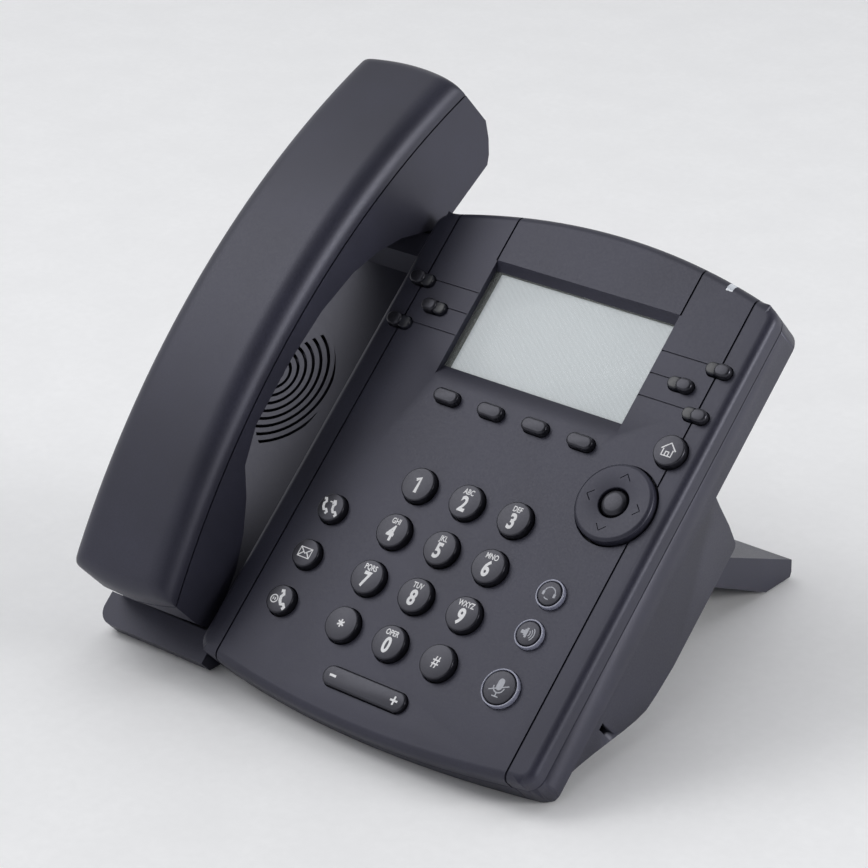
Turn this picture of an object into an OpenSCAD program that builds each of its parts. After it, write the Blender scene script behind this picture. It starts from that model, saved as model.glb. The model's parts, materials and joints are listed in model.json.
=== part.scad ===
// Desk IP phone with a handset cradle on the left, a keypad and display on the right,
// and a fixed rear stand. The face frame has its origin at the middle of the face, with
// x to the right, y up the face and w out of the face. Everything on the body and the
// handset is drawn in the face frame and then tilted and raised onto the desk.

/* [Overall] */
// Angle between the face and the desk
face_tilt = 42.5; // [38:0.5:47]
// Width of the body under the face
body_w = 140.6; // [136:0.2:170]
// Height of the body along its straight sides
side_h = 172; // [168:0.5:205]
// Rise of the curved top edge above the corners
top_rise = 10.5; // [6:0.5:14]
// Drop of the curved bottom edge below the corners
bottom_drop = 6.5; // [4:0.5:9]
// Width of the handset cradle beside the body
cradle_w = 49.4; // [48:0.2:56]
// Moulded wall thickness
wall = 2.5; // [2:0.1:3]
// Depth of the lower rear corner that is cut flat for the desk
corner_trim = 4.9; // [4.2:0.1:5.4]

/* [Housing] */
// Depth of the front cover behind the face
cover_d = 7.2; // [7.2:0.1:9]
// Depth of the straight rear slab behind the front cover
slab_d = 11.8; // [11:0.1:14]
// Depth of the rear bulge behind the slab
bulge_d = 27.7; // [26:0.1:32]
// Step in from the slab's side to the bulge's side
bulge_inset = 1.5; // [1:0.1:3]
// Size of the rounded edge round the face
edge_r = 3; // [1.5:0.1:3.5]

/* [Display] */
// Visible width of the display
display_w = 72.2; // [60:0.2:74]
// Visible height of the display
display_h = 37.7; // [30:0.1:40]
// Height of the display's middle above the middle of the face
display_y = 53.2; // [50:0.1:56]
// Width of the bevel round the display opening
bevel_w = 1.9; // [1:0.1:2.5]
// Depth of the display opening at its frame
bevel_d = 2.0; // [1.5:0.1:2.2]

/* [Keys] */
// Radius of a dial key
dial_r = 6.1; // [5:0.1:6.4]
// Sideways spacing of the dial keys
dial_pitch_x = 20; // [18:0.1:22]
// Spacing of the dial key rows
dial_pitch_y = 17.55; // [16:0.05:17.8]
// Height of the top dial row above the middle of the face
dial_top_y = -9; // [-10:0.5:-6]
// Radius of a function key
function_r = 5.1; // [4:0.1:6]
// Distance of the function keys left of the middle
function_x = 46.8; // [44:0.1:50]
// Length of a soft key
soft_l = 10; // [8:0.1:12]
// Width of a soft key
soft_wd = 5; // [4:0.1:6]
// Length of a line key
line_l = 9.5; // [8:0.1:9.8]
// Width of a line key
line_wd = 4.7; // [4:0.1:5.5]
// Height of the keys above the face
key_h = 2.6; // [1.6:0.1:3.5]
// Travel of a key when it is pressed
key_travel = 1.2; // [0.8:0.1:1.2]
// Radius of the home key
home_r = 5.5; // [4.5:0.1:5.8]
// Radius of the headset and speaker light rings
audio_ring_r = 5; // [4.6:0.1:6]
// Radius of the mute light ring
mute_ring_r = 6.54; // [5.6:0.1:7]
// Width of a light ring
ring_wd = 1.1; // [0.8:0.1:1.4]
// Length of the volume rocker
rocker_l = 34; // [28:0.5:36]
// Width of the volume rocker
rocker_wd = 7; // [6:0.1:8]

/* [Navigation ring] */
// Radius of the navigation ring at the face
nav_r = 13.7; // [12:0.1:14]
// Radius of the hole in the navigation ring
nav_hole_r = 5.3; // [5:0.1:6]
// Radius of the select key
select_r = 4.7; // [4:0.1:4.8]
// Radius of the gimbal pins
gimbal_pin_r = 0.7; // [0.5:0.05:0.8]

/* [Handset] */
// Width of the handset
handset_w = 44; // [40:0.2:44.5]
// Length of the handset
handset_l = 210; // [200:0.5:216]
// Radius of the handset's crown along its length
crown_r = 304.5; // [290:0.5:320]
// Thickness of the outer shell at the seam
outer_d = 9.5; // [8:0.1:11]
// Radius of the rounded long edges of the outer shell
crown_edge_r = 8; // [5:0.1:8.5]

/* [Stand] */
// Width of the stand
stand_w = 133; // [110:1:140]
// Thickness of the stand leg
leg_t = 8.3; // [6:0.1:9]
// Downward slope of the stand leg
leg_slope = 20.6; // [18:0.1:23]
// Distance from the middle of the face back to the end of the leg
leg_end_y = 124.4; // [118:0.2:130]

/* [Fits] */
// Gap between a key and its hole
key_gap = 0.3; // [0.2:0.05:0.4]
// Gap between a seated piece and its seat
seat_gap = 0.3; // [0.2:0.05:0.4]
// Radial clearance of a running pin
pin_gap = 0.05; // [0.03:0.01:0.09]

/* [Hidden] */
$fn = 48;
eps = 0.01;
arc_fn = 200;

// Depths behind the face, all measured along w from the face
cover_back = -cover_d;
slab_back = cover_back - slab_d;
bulge_back = slab_back - bulge_d;
slab_floor = slab_back + wall;
flange_top = -wall - seat_gap;
flange_t = 0.8;
// A key's stem runs down inside a collar of the mat by the key's travel
stem_r = 2;
collar_t = 1;
collar_top = flange_top - flange_t - key_travel - 0.6;
stem_tip = collar_top - 0.5;
mat_top = stem_tip - key_travel - 0.2;
mat_t = 1;
board_top = mat_top - mat_t;
board_t = 1.6;
board_back = board_top - board_t;

// Curved top and bottom edges of the face
half_w = body_w / 2;
half_h = side_h / 2;
top_arc_r = (half_w * half_w + top_rise * top_rise) / (2 * top_rise);
bottom_arc_r = (half_w * half_w + bottom_drop * bottom_drop) / (2 * bottom_drop);
// The body's lowest rear corner would reach below the desk by the trimmed depth
face_height = (half_h + bottom_drop) * sin(face_tilt) - slab_back * cos(face_tilt) - corner_trim;

// Cradle beside the body
cradle_left = -half_w - cradle_w;
cradle_top_y = half_h - 3;
cradle_bottom_y = -half_h - 4;
cradle_corner_r = 6;
pan_floor = -14;
pan_back = pan_floor - wall;
lip_inner_y = cradle_bottom_y + 11;
lip_top = -8;
grille_x = cradle_left + 22;
grille_y = 12;
grille_half_w = 13.5;
grille_half_h = 24;
slot_pitch = 3;
slot_w = 1.2;
speaker_r = 15;
speaker_d = 16;
speaker_y = grille_y - 5;
magnet_r = 10;

// Handset: crown and seam are arcs about one axis across the phone
handset_gap = 2.7;
handset_right = -half_w - handset_gap;
handset_left = handset_right - handset_w;
handset_x = handset_right - handset_w / 2;
handset_y = 22;
crown_top = 42.5;
axis_w = crown_top - crown_r;
seam_r = crown_r - outer_d;
seam_gap = 0.1;
handset_end_bow = 3;
handset_end_r = (pow(handset_w / 2, 2) + pow(handset_end_bow, 2)) / (2 * handset_end_bow);
handset_top_y = handset_y + handset_l / 2;
handset_bottom_y = handset_y - handset_l / 2;
// Underside of the handset along y and w, from the ear end to the mouth end
ear_face = [[handset_top_y - 13.5, -14.5], [84, -9.5]];
ear_end = [[handset_top_y, 12], [handset_top_y - 0.8, 2.4], [handset_top_y - 6.5, -7.8],
    [handset_top_y - 10.4, -12.4]];
ear_rise = [[79.5, -4], [70, 7], [60, 14.5], [48, 20.5], [30, 25]];
grip_underside = [[10, 26.5], [-15, 25.5]];
mouth_rise = [[-28, 20], [-36, 11], [-46, 3], [-57, -3]];
mouth_face = [[-67, -5.5], [handset_bottom_y + 6, -7]];
mouth_end = [[handset_bottom_y + 4.5, -5], [handset_bottom_y + 1.5, 8], [handset_bottom_y, 15]];
receiver_r = 14;
receiver_t = 7;
microphone_r = 4.85;
microphone_side = 8;
plug_x = handset_x - 8;
plug_w = -0.9;
HANDSET_SCREWS = [34, -20];
handset_seat = 1.6;

// Rows and columns of keys, and the other controls
softkey_y = display_y - 30.2;
softkey_pitch = 18.55;
line_outer_x = half_w - 9;
line_inner_x = line_outer_x - 10.3;
line_pitch_y = 8.4;
line_top_y = display_y + 7.2;
nav_x = half_w - 19.6;
nav_y = 7.1;
home_x = half_w - 10.6;
home_y = 29.4;
audio_x = 45.1;
headset_y = -27.7;
speaker_key_y = -42.2;
mute_y = dial_top_y - 3 * dial_pitch_y;
rocker_x = -0.5;
rocker_y = mute_y - 16.7;
rocker_h = 1.8;
groove_x = half_w - 9.3;
panel_x = 38;
groove_w = 0.6;
groove_d = 0.5;

// Each key: name, x, y
DIAL = [
    ["key_1", -1, 0], ["key_2", 0, 0], ["key_3", 1, 0],
    ["key_4", -1, 1], ["key_5", 0, 1], ["key_6", 1, 1],
    ["key_7", -1, 2], ["key_8", 0, 2], ["key_9", 1, 2],
    ["key_star", -1, 3], ["key_0", 0, 3], ["key_hash", 1, 3]
];
FUNCTION = [["key_transfer", 1], ["key_messages", 2], ["key_hold", 3]];
LINE = [
    ["line_key_1", -line_outer_x, 0], ["line_key_2", -line_inner_x, 1],
    ["line_key_3", -line_outer_x, 2], ["line_key_4", line_outer_x, 0],
    ["line_key_5", line_inner_x, 1], ["line_key_6", line_outer_x, 2]
];
function dial_x(k) = k[1] * dial_pitch_x;
function row_y(row) = dial_top_y - row * dial_pitch_y;
function line_y(k) = line_top_y - k[2] * line_pitch_y;
function softkey_x(i) = (i - 1.5) * softkey_pitch;

ROUND_KEYS = concat(
    [for (k = DIAL) [dial_x(k), row_y(k[2]), dial_r]],
    [for (k = FUNCTION) [-function_x, row_y(k[1]), function_r]],
    [[home_x, home_y, home_r]]
);
AUDIO = [
    ["key_headset", headset_y, audio_ring_r], ["key_speaker", speaker_key_y, audio_ring_r],
    ["key_mute", mute_y, mute_ring_r]
];

ring_back = -3.1;
ring_h = 1.2;
audio_h = 1.8;
audio_flange = ring_back - 0.2;

// Navigation ring
nav_top_r = nav_r - 1.1;
nav_h = 3;
nav_bottom = -wall;
gimbal_w = -4.4;
gimbal_r = 9;
gimbal_in_r = 6.2;
gimbal_t = 1.6;
ear_in_r = nav_r + 0.6;
ear_t = 1.6;
lug_in_r = 10;
lug_t = 2;
select_h = 2.6;
select_flange_r = 5.8;

// Housing screws and the posts that carry the boards
SCREWS = [
    [-half_w + 8.5, half_h - 9.5], [half_w - 8.5, half_h - 9.5],
    [-half_w + 18, -half_h + 4], [half_w - 18, -half_h + 4]
];
boss_r = 3.2;
shank_r = 1.2;
head_r = 2.6;
head_t = 1.6;
POSTS = [[-56, 62], [56, 62], [-56, -72], [56, -72]];
post_r = 2.5;

// Rear bulge along y and w, from its top to its bottom
bulge_top_y = 27.5;
bulge_edge = [
    [bulge_top_y, slab_back], [bulge_top_y - 1.5, slab_back - 7.2],
    [bulge_top_y - 3.3, slab_back - 17.7], [bulge_top_y - 5.7, bulge_back + 1.1],
    [bulge_top_y - 7.1, bulge_back], [-24, bulge_back], [-35.1, bulge_back + 1.3],
    [-41.1, bulge_back + 2.5], [-46, bulge_back + 5.2], [-51.2, bulge_back + 8.9],
    [-64.2, slab_back - 8.7], [-71.4, slab_back - 3.5], [-77.6, slab_back]
];
bulge_left = cradle_left + bulge_inset;
bulge_right = half_w - bulge_inset;

// Jack recess under the bulge, open towards the desk
recess_left = -60;
recess_right = 40;
recess_wall_y = -34;
recess_floor = slab_back - 5.5;
jack_board_top = -29;
jack_board_back = jack_board_top + board_t;
jack_h = 13.5;
// Each network jack's middle along x
NETWORK_X = [-10, 8];
network_w = 16;
network_d = 18;
// Each handset and headset jack's middle along x
AUDIO_X = [-45, -30];
audio_jack_w = 11;
audio_jack_h = 10;
audio_jack_d = 15;
power_x = 27;
power_w = 10;
power_h = 11;
power_d = 14;
power_bore_r = 3;
power_pin_r = 1;

// Stand, in the desk frame with y back and z up
stand_x = (cradle_left + half_w) / 2;
underside_z = 0.7;
front_foot_wd = 4.6;
stand_foot_y = leg_end_y - 9;
// The corner flat's rear edge, up the face and then back along the desk
flat_edge_y = (underside_z - face_height - slab_back * cos(face_tilt)) / sin(face_tilt);
front_foot_y = flat_edge_y * cos(face_tilt) - slab_back * sin(face_tilt) - front_foot_wd / 2;

// The stand's mounting flange
stand_flange_t = 1.5;
stand_flange_w = stand_w - 20;
stand_flange_h = 26;
stand_flange_y = -19;

// Message lamp and microphone hole
lamp_x = half_w - 20.3;
lamp_w = 2.6;
lamp_bottom_y = half_h + 1.7;
mic_x = -0.9;
mic_y = softkey_y;

// Volume rocker's pivot
rocker_pin_w = -4;
rocker_pin_r = 0.7;

// Hook switch
hook_w = 12;
hook_low_y = 72;
hook_high_y = 76.5;
hook_travel = 3;
hook_roof = -8.5;
hook_flange_t = 0.8;
hook_rim = 1.2;
hook_tip_gap = 0.5;

// The part's origin is on the desk, under the middle of its outline
handset_front_y = handset_bottom_y * cos(face_tilt) - crown_w(handset_bottom_y) * sin(face_tilt);
body_x = cradle_w / 2;
body_y = -(leg_end_y + handset_front_y) / 2;

module on_face() {
    translate([body_x, body_y, face_height]) rotate([face_tilt, 0, 0]) children();
}

module plate_2d(inset) {
    intersection() {
        square([body_w - 2 * inset, 2 * body_w + 2 * side_h], center = true);
        translate([0, half_h + top_rise - top_arc_r])
            circle(top_arc_r - inset, $fn = arc_fn);
        translate([0, -half_h - bottom_drop + bottom_arc_r])
            circle(bottom_arc_r - inset, $fn = arc_fn);
    }
}

module slab(inset, back, front) {
    translate([0, 0, back]) linear_extrude(front - back) plate_2d(inset);
}

module pill_2d(l, wd) {
    square([l - wd, wd], center = true);
    for (s = [-1, 1]) translate([s * (l - wd) / 2, 0]) circle(wd / 2);
}

// A box between two corners
module block(low, high) {
    translate(low) cube(high - low);
}

// Extrudes a y, w outline along x
module along_x(x_low, x_high) {
    translate([x_low, 0, 0]) rotate([90, 0, 90]) linear_extrude(x_high - x_low) children();
}

module key_stem() {
    translate([0, 0, stem_tip]) cylinder(r = stem_r, h = flange_top - flange_t / 2 - stem_tip);
}

module round_key(r, h) {
    dome = 0.35;
    bevel = 0.6;
    translate([0, 0, flange_top - eps]) rotate_extrude() polygon([
        [0, 0], [r, 0], [r, h - flange_top - bevel], [r - bevel, h - flange_top],
        [r * 0.5, h - flange_top + dome * 0.75], [0, h - flange_top + dome]
    ]);
    translate([0, 0, flange_top - flange_t]) cylinder(r = r + 0.9, h = flange_t);
    key_stem();
}

module pill_key(l, wd, h) {
    bevel = 0.5;
    translate([0, 0, flange_top - eps]) linear_extrude(h - bevel - flange_top) pill_2d(l, wd);
    translate([0, 0, h - bevel - 2 * eps]) linear_extrude(bevel) pill_2d(l - bevel, wd - bevel);
    translate([0, 0, flange_top - flange_t]) linear_extrude(flange_t) pill_2d(l + 1.6, wd + 1.6);
    key_stem();
}

module key_holes() {
    for (k = ROUND_KEYS) translate([k[0], k[1]]) circle(k[2] + key_gap);
    for (i = [0:3]) translate([softkey_x(i), softkey_y])
        pill_2d(soft_l + 2 * key_gap, soft_wd + 2 * key_gap);
    for (k = LINE) translate([k[1], line_y(k)])
        pill_2d(line_l + 2 * key_gap, line_wd + 2 * key_gap);
    for (k = AUDIO) translate([audio_x, k[1]]) circle(k[2]);
    translate([nav_x, nav_y]) circle(nav_r + key_gap);
    translate([rocker_x, rocker_y]) pill_2d(rocker_l + 2 * key_gap, rocker_wd + 2 * key_gap);
}

module display_opening() {
    hull() {
        translate([0, display_y, -bevel_d])
            cube([display_w, display_h, eps], center = true);
        translate([0, display_y, 0])
            cube([display_w + 2 * bevel_w, display_h + 2 * bevel_w, 2 * eps], center = true);
    }
    translate([0, display_y, -wall / 2])
        cube([display_w, display_h, 2 * wall], center = true);
}

module grooves() {
    groove_len = 2 * body_w + 2 * side_h;
    panel_low = display_y + display_h / 2 + bevel_w;
    for (s = [-1, 1]) {
        translate([s * groove_x, 0, 0])
            cube([groove_w, groove_len, 2 * groove_d], center = true);
        translate([s * panel_x, panel_low + groove_len / 2, 0])
            cube([groove_w, groove_len, 2 * groove_d], center = true);
        for (row = [0:2]) {
            reach = row == 1 ? line_inner_x : line_outer_x;
            block_x0 = display_w / 2 + bevel_w + 0.5;
            span = reach - line_l / 2 - block_x0;
            translate([s * (block_x0 + span / 2), line_top_y - row * line_pitch_y + 1.5, 0])
                cube([span, groove_w, 2 * groove_d], center = true);
        }
    }
}

module cover_ears() {
    // Ears for the navigation gimbal's side pins
    for (s = [-1, 1]) translate([nav_x + s * (ear_in_r + ear_t / 2), nav_y, 0])
        difference() {
            translate([0, 0, -(wall + 5.6) / 2])
                cube([ear_t, 4, 5.6 - wall + 2 * eps], center = true);
            translate([0, 0, gimbal_w]) rotate([0, 90, 0])
                cylinder(r = gimbal_pin_r + pin_gap, h = 2 * ear_t, center = true);
        }
    // Ears for the volume rocker's pivot pins
    for (s = [-1, 1]) translate([rocker_x, rocker_y + s * (rocker_wd / 2 + 1.5), 0])
        difference() {
            translate([0, 0, -(wall + 5.2) / 2])
                cube([4, ear_t, 5.2 - wall + 2 * eps], center = true);
            translate([0, 0, rocker_pin_w]) rotate([90, 0, 0])
                cylinder(r = rocker_pin_r + pin_gap, h = 2 * ear_t, center = true);
        }
}

module face_cover() {
    color("#26262e") on_face() difference() {
        union() {
            difference() {
                hull() {
                    slab(0, cover_back, -edge_r);
                    slab(edge_r * 0.3, -edge_r, -edge_r * 0.3);
                    slab(edge_r, -edge_r, 0);
                }
                slab(wall, cover_back - 1, -wall);
            }
            for (p = SCREWS) translate([p[0], p[1], cover_back])
                cylinder(r = boss_r, h = cover_d - wall + eps);
            cover_ears();
        }
        for (p = SCREWS) translate([p[0], p[1], cover_back - 1])
            cylinder(r = shank_r + pin_gap, h = 1 + cover_d - wall);
        translate([0, 0, -2 * wall]) linear_extrude(3 * wall) key_holes();
        display_opening();
        grooves();
        block([lamp_x - lamp_w / 2 - 0.05, lamp_bottom_y, -edge_r],
            [lamp_x + lamp_w / 2 + 0.05, half_h + 20, 1]);
        translate([mic_x, mic_y, -2 * wall]) cylinder(r = 0.6, h = 3 * wall, $fn = 24);
    }
}

module cradle_outline_2d(inset) {
    r = cradle_corner_r - inset;
    x0 = cradle_left + inset;
    x1 = -half_w - inset * 0.02;
    y0 = cradle_bottom_y + inset;
    y1 = cradle_top_y - inset;
    translate([x0 + r, y0]) square([x1 - x0 - r, y1 - y0]);
    translate([x0, y0 + r]) square([x1 - x0, y1 - y0 - 2 * r]);
    for (y = [y0 + r, y1 - r]) translate([x0 + r, y]) circle(r);
}

module bulge(inset, low_x, high_x) {
    along_x(low_x + inset, high_x - inset) offset(delta = -inset) polygon(bulge_edge);
}

module jack_opening(x, w, h) {
    clear = 0.1;
    block([x - w / 2 - clear, recess_wall_y - 1, jack_board_top - h - clear],
        [x + w / 2 + clear, recess_wall_y + 2 * wall, jack_board_top + clear]);
}

module jack_openings() {
    for (x = NETWORK_X) jack_opening(x, network_w, jack_h);
    for (x = AUDIO_X) jack_opening(x, audio_jack_w, audio_jack_h);
    jack_opening(power_x, power_w, power_h);
}

// Everything below the flat underside that the front feet are glued to
module below_underside() {
    translate([-200, -200, underside_z - 100]) cube([400, 400, 100]);
}

module rear_housing() {
    recess_low = [recess_left, -90, bulge_back - 5];
    recess_high = [recess_right, recess_wall_y, recess_floor];
    color("#22222a") difference() {
        on_face() rear_shell(recess_low, recess_high);
        below_underside();
    }
}

module rear_shell(recess_low, recess_high) {
    difference() {
        union() {
            difference() {
                union() {
                    slab(0, slab_back, cover_back);
                    translate([0, 0, slab_back]) linear_extrude(pan_back - slab_back)
                        cradle_outline_2d(0);
                    bulge(0, bulge_left, bulge_right);
                }
                slab(wall, slab_floor, cover_back + 1);
                difference() {
                    bulge(wall, bulge_left, bulge_right);
                    block(recess_low - [wall, wall, 0], recess_high + [wall, wall, wall]);
                }
                // Way through the slab floor into the bulge
                block([bulge_left + wall, recess_wall_y + wall, slab_back - 5],
                    [bulge_right - wall, bulge_top_y - 5, slab_floor + eps]);
                block([bulge_left + wall, recess_wall_y + wall, slab_back - 1],
                    [-half_w - wall, bulge_top_y - 5, pan_back + 1]);
                block(recess_low, recess_high);
            }
            for (p = SCREWS) translate([p[0], p[1], slab_back])
                cylinder(r = boss_r, h = cover_back - slab_back);
            for (p = POSTS) translate([p[0], p[1], slab_floor - eps])
                cylinder(r = post_r, h = board_back - slab_floor + eps);
            for (x = [recess_left + 6, recess_right - 6]) translate([x, -12, bulge_back + wall - eps])
                cylinder(r = post_r, h = jack_board_back - board_t - bulge_back - wall + eps);
        }
        for (p = SCREWS) translate([p[0], p[1], slab_back - 1]) {
            cylinder(r = shank_r + 0.3, h = slab_d + 2);
            cylinder(r = head_r + 0.3, h = 1 + head_t + 0.4);
        }
        jack_openings();
        // Pocket for the stand's mounting flange, and its screw holes
        on_stand_flange() block([-stand_flange_w / 2 - 0.2, -0.2, -stand_flange_t],
            [stand_flange_w / 2 + 0.2, stand_flange_h + 0.2, 5]);
        // Strain notch for a headset cord on the right
        block([bulge_right - 4, -57, slab_back - 14], [bulge_right + 1, -54.5, slab_back - 5]);
    }
}

// The stand's mounting flange lies in a shallow pocket in the bulge's rear wall
module on_stand_flange() {
    translate([stand_x, stand_flange_y, bulge_back]) mirror([0, 0, 1]) children();
}

module handset_cradle() {
    color("#24242c") difference() {
        on_face() cradle_tray();
        below_underside();
    }
}

module cradle_tray() {
    difference() {
        union() {
            translate([0, 0, pan_back]) linear_extrude(wall) cradle_outline_2d(0);
            // Lower lip, cut from the same outline
            intersection() {
                translate([0, 0, pan_back]) linear_extrude(lip_top - pan_back) cradle_outline_2d(0);
                block([cradle_left - 1, cradle_bottom_y - 1, pan_back], [-half_w, lip_inner_y, lip_top]);
            }
            // Upper block that the ear end hooks over
            intersection() {
                translate([0, 0, pan_back]) linear_extrude(wall + 12) cradle_outline_2d(0);
                along_x(cradle_left, -half_w) polygon([
                    [66, pan_floor - 1], [66, pan_floor + eps], [70, -6],
                    [ear_rise[0][0] - 1, ear_rise[0][1] - 0.6],
                    [cradle_top_y - 0.1, corner_w(cradle_top_y - 0.1) - 0.5],
                    [cradle_top_y + 1, pan_floor + 2], [cradle_top_y + 1, pan_floor - 1]
                ]);
            }
            // Rest for the mouth end
            along_x(handset_x - 11, handset_x + 11) polygon([
                [-73, pan_floor - 1], [-73, -6.75], [-64, -5.1], [-62, pan_floor - 1]
            ]);
        }
        intersection() {
            translate([grille_x, grille_y, pan_back - 1]) linear_extrude(wall + 2) grille_outline_2d();
            translate([grille_x - 12, grille_y + 4, pan_back - 1]) linear_extrude(wall + 2)
                grille_rings_2d();
        }
        // Slot and pocket for the hook switch
        block([handset_x - hook_w / 2 - seat_gap, hook_low_y - seat_gap, pan_back - 1],
            [handset_x + hook_w / 2 + seat_gap, hook_high_y + seat_gap, 0]);
        reach = hook_rim + seat_gap;
        block([handset_x - hook_w / 2 - reach, hook_low_y - reach, pan_back - 1],
            [handset_x + hook_w / 2 + reach, hook_high_y + reach, hook_roof]);
    }
}

module grille_outline_2d() {
    r = (grille_half_w * grille_half_w + grille_half_h * grille_half_h) / (2 * grille_half_w);
    intersection() {
        translate([grille_half_w - r, 0]) circle(r, $fn = 96);
        translate([r - grille_half_w, 0]) circle(r, $fn = 96);
    }
}

module grille_rings_2d() {
    for (i = [1:9]) difference() {
        circle(i * slot_pitch + slot_w / 2, $fn = 64);
        circle(i * slot_pitch - slot_w / 2, $fn = 64);
    }
}

module hook_switch() {
    rim_top = hook_roof - seat_gap;
    bottom = pan_back + hook_travel + seat_gap;
    color("#1c1c20") on_face() {
        along_x(handset_x - hook_w / 2, handset_x + hook_w / 2) polygon([
            [hook_low_y, bottom], [hook_low_y, rise_w(hook_low_y) - hook_tip_gap],
            [hook_high_y, rise_w(hook_high_y) - hook_tip_gap], [hook_high_y, bottom]
        ]);
        block([handset_x - hook_w / 2 - hook_rim, hook_low_y - hook_rim, rim_top - hook_flange_t],
            [handset_x + hook_w / 2 + hook_rim, hook_high_y + hook_rim, rim_top]);
    }
}

module display_window() {
    color("#c8cec8", 0.5) on_face() block(
        [-display_w / 2 - 2, display_y - display_h / 2 - 2, -wall - 1.2],
        [display_w / 2 + 2, display_y + display_h / 2 + 2, -wall]
    );
}

module display_module() {
    color("#9aa39c") on_face() block(
        [-display_w / 2 - 1.5, display_y - display_h / 2 - 3, board_top],
        [display_w / 2 + 1.5, display_y + display_h / 2 + 1.5, -wall - 1.2]
    );
}

module message_lamp() {
    color("#d8dce0", 0.7) on_face() intersection() {
        block([lamp_x - lamp_w / 2, lamp_bottom_y + 0.1, -edge_r + 0.05],
            [lamp_x + lamp_w / 2, half_h + 20, 0]);
        slab(0.3, -edge_r, 0);
    }
}

module audio_light_rings() {
    color("#8c8f96") on_face() for (k = AUDIO) translate([audio_x, k[1], 0]) difference() {
        union() {
            translate([0, 0, ring_back]) cylinder(r = k[2], h = ring_h - ring_back);
            translate([0, 0, ring_back]) cylinder(r = k[2] + 0.8, h = -wall - ring_back);
        }
        translate([0, 0, -5]) cylinder(r = k[2] - ring_wd, h = 8);
    }
}

module mat_2d() {
    translate([-half_w + 6.5, -77.5]) square([body_w - 13, 106]);
    translate([rocker_x - 22, rocker_y - 5.5]) square([44, 10]);
    for (s = [-1, 1]) translate([s * (41 + half_w - 5) / 2, 47.5])
        square([half_w - 5 - 41, 45], center = true);
}

STEMS = concat(
    [for (k = ROUND_KEYS) [k[0], k[1]]],
    [for (i = [0:3]) [softkey_x(i), softkey_y]],
    [for (k = LINE) [k[1], line_y(k)]],
    [for (k = AUDIO) [audio_x, k[1]]],
    [[nav_x, nav_y]]
);

module keypad_mat() {
    color("#8d9095") on_face() difference() {
        union() {
            translate([0, 0, board_top]) linear_extrude(mat_t) mat_2d();
            for (p = STEMS) translate([p[0], p[1], mat_top - eps])
                cylinder(r = stem_r + key_gap + collar_t, h = collar_top - mat_top + eps);
        }
        for (p = STEMS) translate([p[0], p[1], mat_top])
            cylinder(r = stem_r + key_gap, h = 4);
        for (p = POSTS) translate([p[0], p[1], board_top - 1]) cylinder(r = 2.2, h = 4);
    }
}

module main_board() {
    color("#1d5c35") on_face() difference() {
        translate([0, 0, board_back]) linear_extrude(board_t) {
            translate([-half_w + 6, -78]) square([body_w - 12, 146]);
            translate([rocker_x - 22, rocker_y - 5.5]) square([44, 10]);
        }
        for (p = POSTS) translate([p[0], p[1], board_back - 1]) cylinder(r = 1.1, h = 4);
    }
}

module jack_board() {
    color("#1d5c35") on_face()
        block([recess_left + 2, recess_wall_y + 3, jack_board_top],
            [recess_right - 2, -7, jack_board_back]);
}

module network_jacks() {
    color("#b9bcc0") on_face() for (x = NETWORK_X) difference() {
        block([x - network_w / 2, recess_wall_y, jack_board_top - jack_h],
            [x + network_w / 2, recess_wall_y + network_d, jack_board_top]);
        block([x - 5.9, recess_wall_y - 1, jack_board_top - 10.4],
            [x + 5.9, recess_wall_y + 14, jack_board_top - 3.4]);
        block([x - 3, recess_wall_y - 1, jack_board_top - 12.4],
            [x + 3, recess_wall_y + 14, jack_board_top - 10]);
    }
}

module audio_jacks() {
    color("#1a1a1c") on_face() for (x = AUDIO_X) difference() {
        block([x - audio_jack_w / 2, recess_wall_y, jack_board_top - audio_jack_h],
            [x + audio_jack_w / 2, recess_wall_y + audio_jack_d, jack_board_top]);
        block([x - 3.9, recess_wall_y - 1, jack_board_top - 8.2],
            [x + 3.9, recess_wall_y + 12, jack_board_top - 2]);
    }
}

module power_jack() {
    color("#151517") on_face() {
        difference() {
            block([power_x - power_w / 2, recess_wall_y, jack_board_top - power_h],
                [power_x + power_w / 2, recess_wall_y + power_d, jack_board_top]);
            translate([power_x, recess_wall_y - 1, jack_board_top - power_h / 2]) rotate([-90, 0, 0])
                cylinder(r = power_bore_r, h = 11);
        }
        translate([power_x, recess_wall_y + 1, jack_board_top - power_h / 2]) rotate([-90, 0, 0])
            cylinder(r = power_pin_r, h = 10);
    }
}

module loudspeaker() {
    color("#2f2f33") on_face() translate([grille_x + 1, speaker_y, pan_back]) mirror([0, 0, 1]) {
        difference() {
            cylinder(r = speaker_r, h = 3);
            translate([0, 0, -1]) cylinder(r = speaker_r - 2, h = 2.2);
        }
        translate([0, 0, 2.9]) cylinder(r1 = speaker_r - 1, r2 = magnet_r, h = 6);
        translate([0, 0, 8.8]) cylinder(r = magnet_r, h = speaker_d - 8.8);
    }
}

module handsfree_microphone() {
    color("#101012") on_face() translate([mic_x, mic_y, -wall - 2.6]) cylinder(r = 2.4, h = 2.6);
}

module housing_screws() {
    color("silver") on_face() for (p = SCREWS) translate([p[0], p[1], slab_back + 0.2]) {
        cylinder(r = head_r, h = head_t);
        cylinder(r = shank_r, h = slab_d + 3.6);
    }
}

// Side outline of the stand leg in the desk frame, measured from the middle of the face
module leg_outline_2d() {
    run = cos(leg_slope);
    drop = sin(leg_slope);
    end = [leg_end_y - 2, 2.6];
    length = 96;
    polygon([
        end + leg_t * [drop, run] * 0.62, end + [2, 0], [end[0] + 1.2, underside_z],
        [end[0] - 14, underside_z], end + length * [-run, drop] - [0, 0.4],
        end + length * [-run, drop] + leg_t * [drop, run]
    ]);
}

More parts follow.
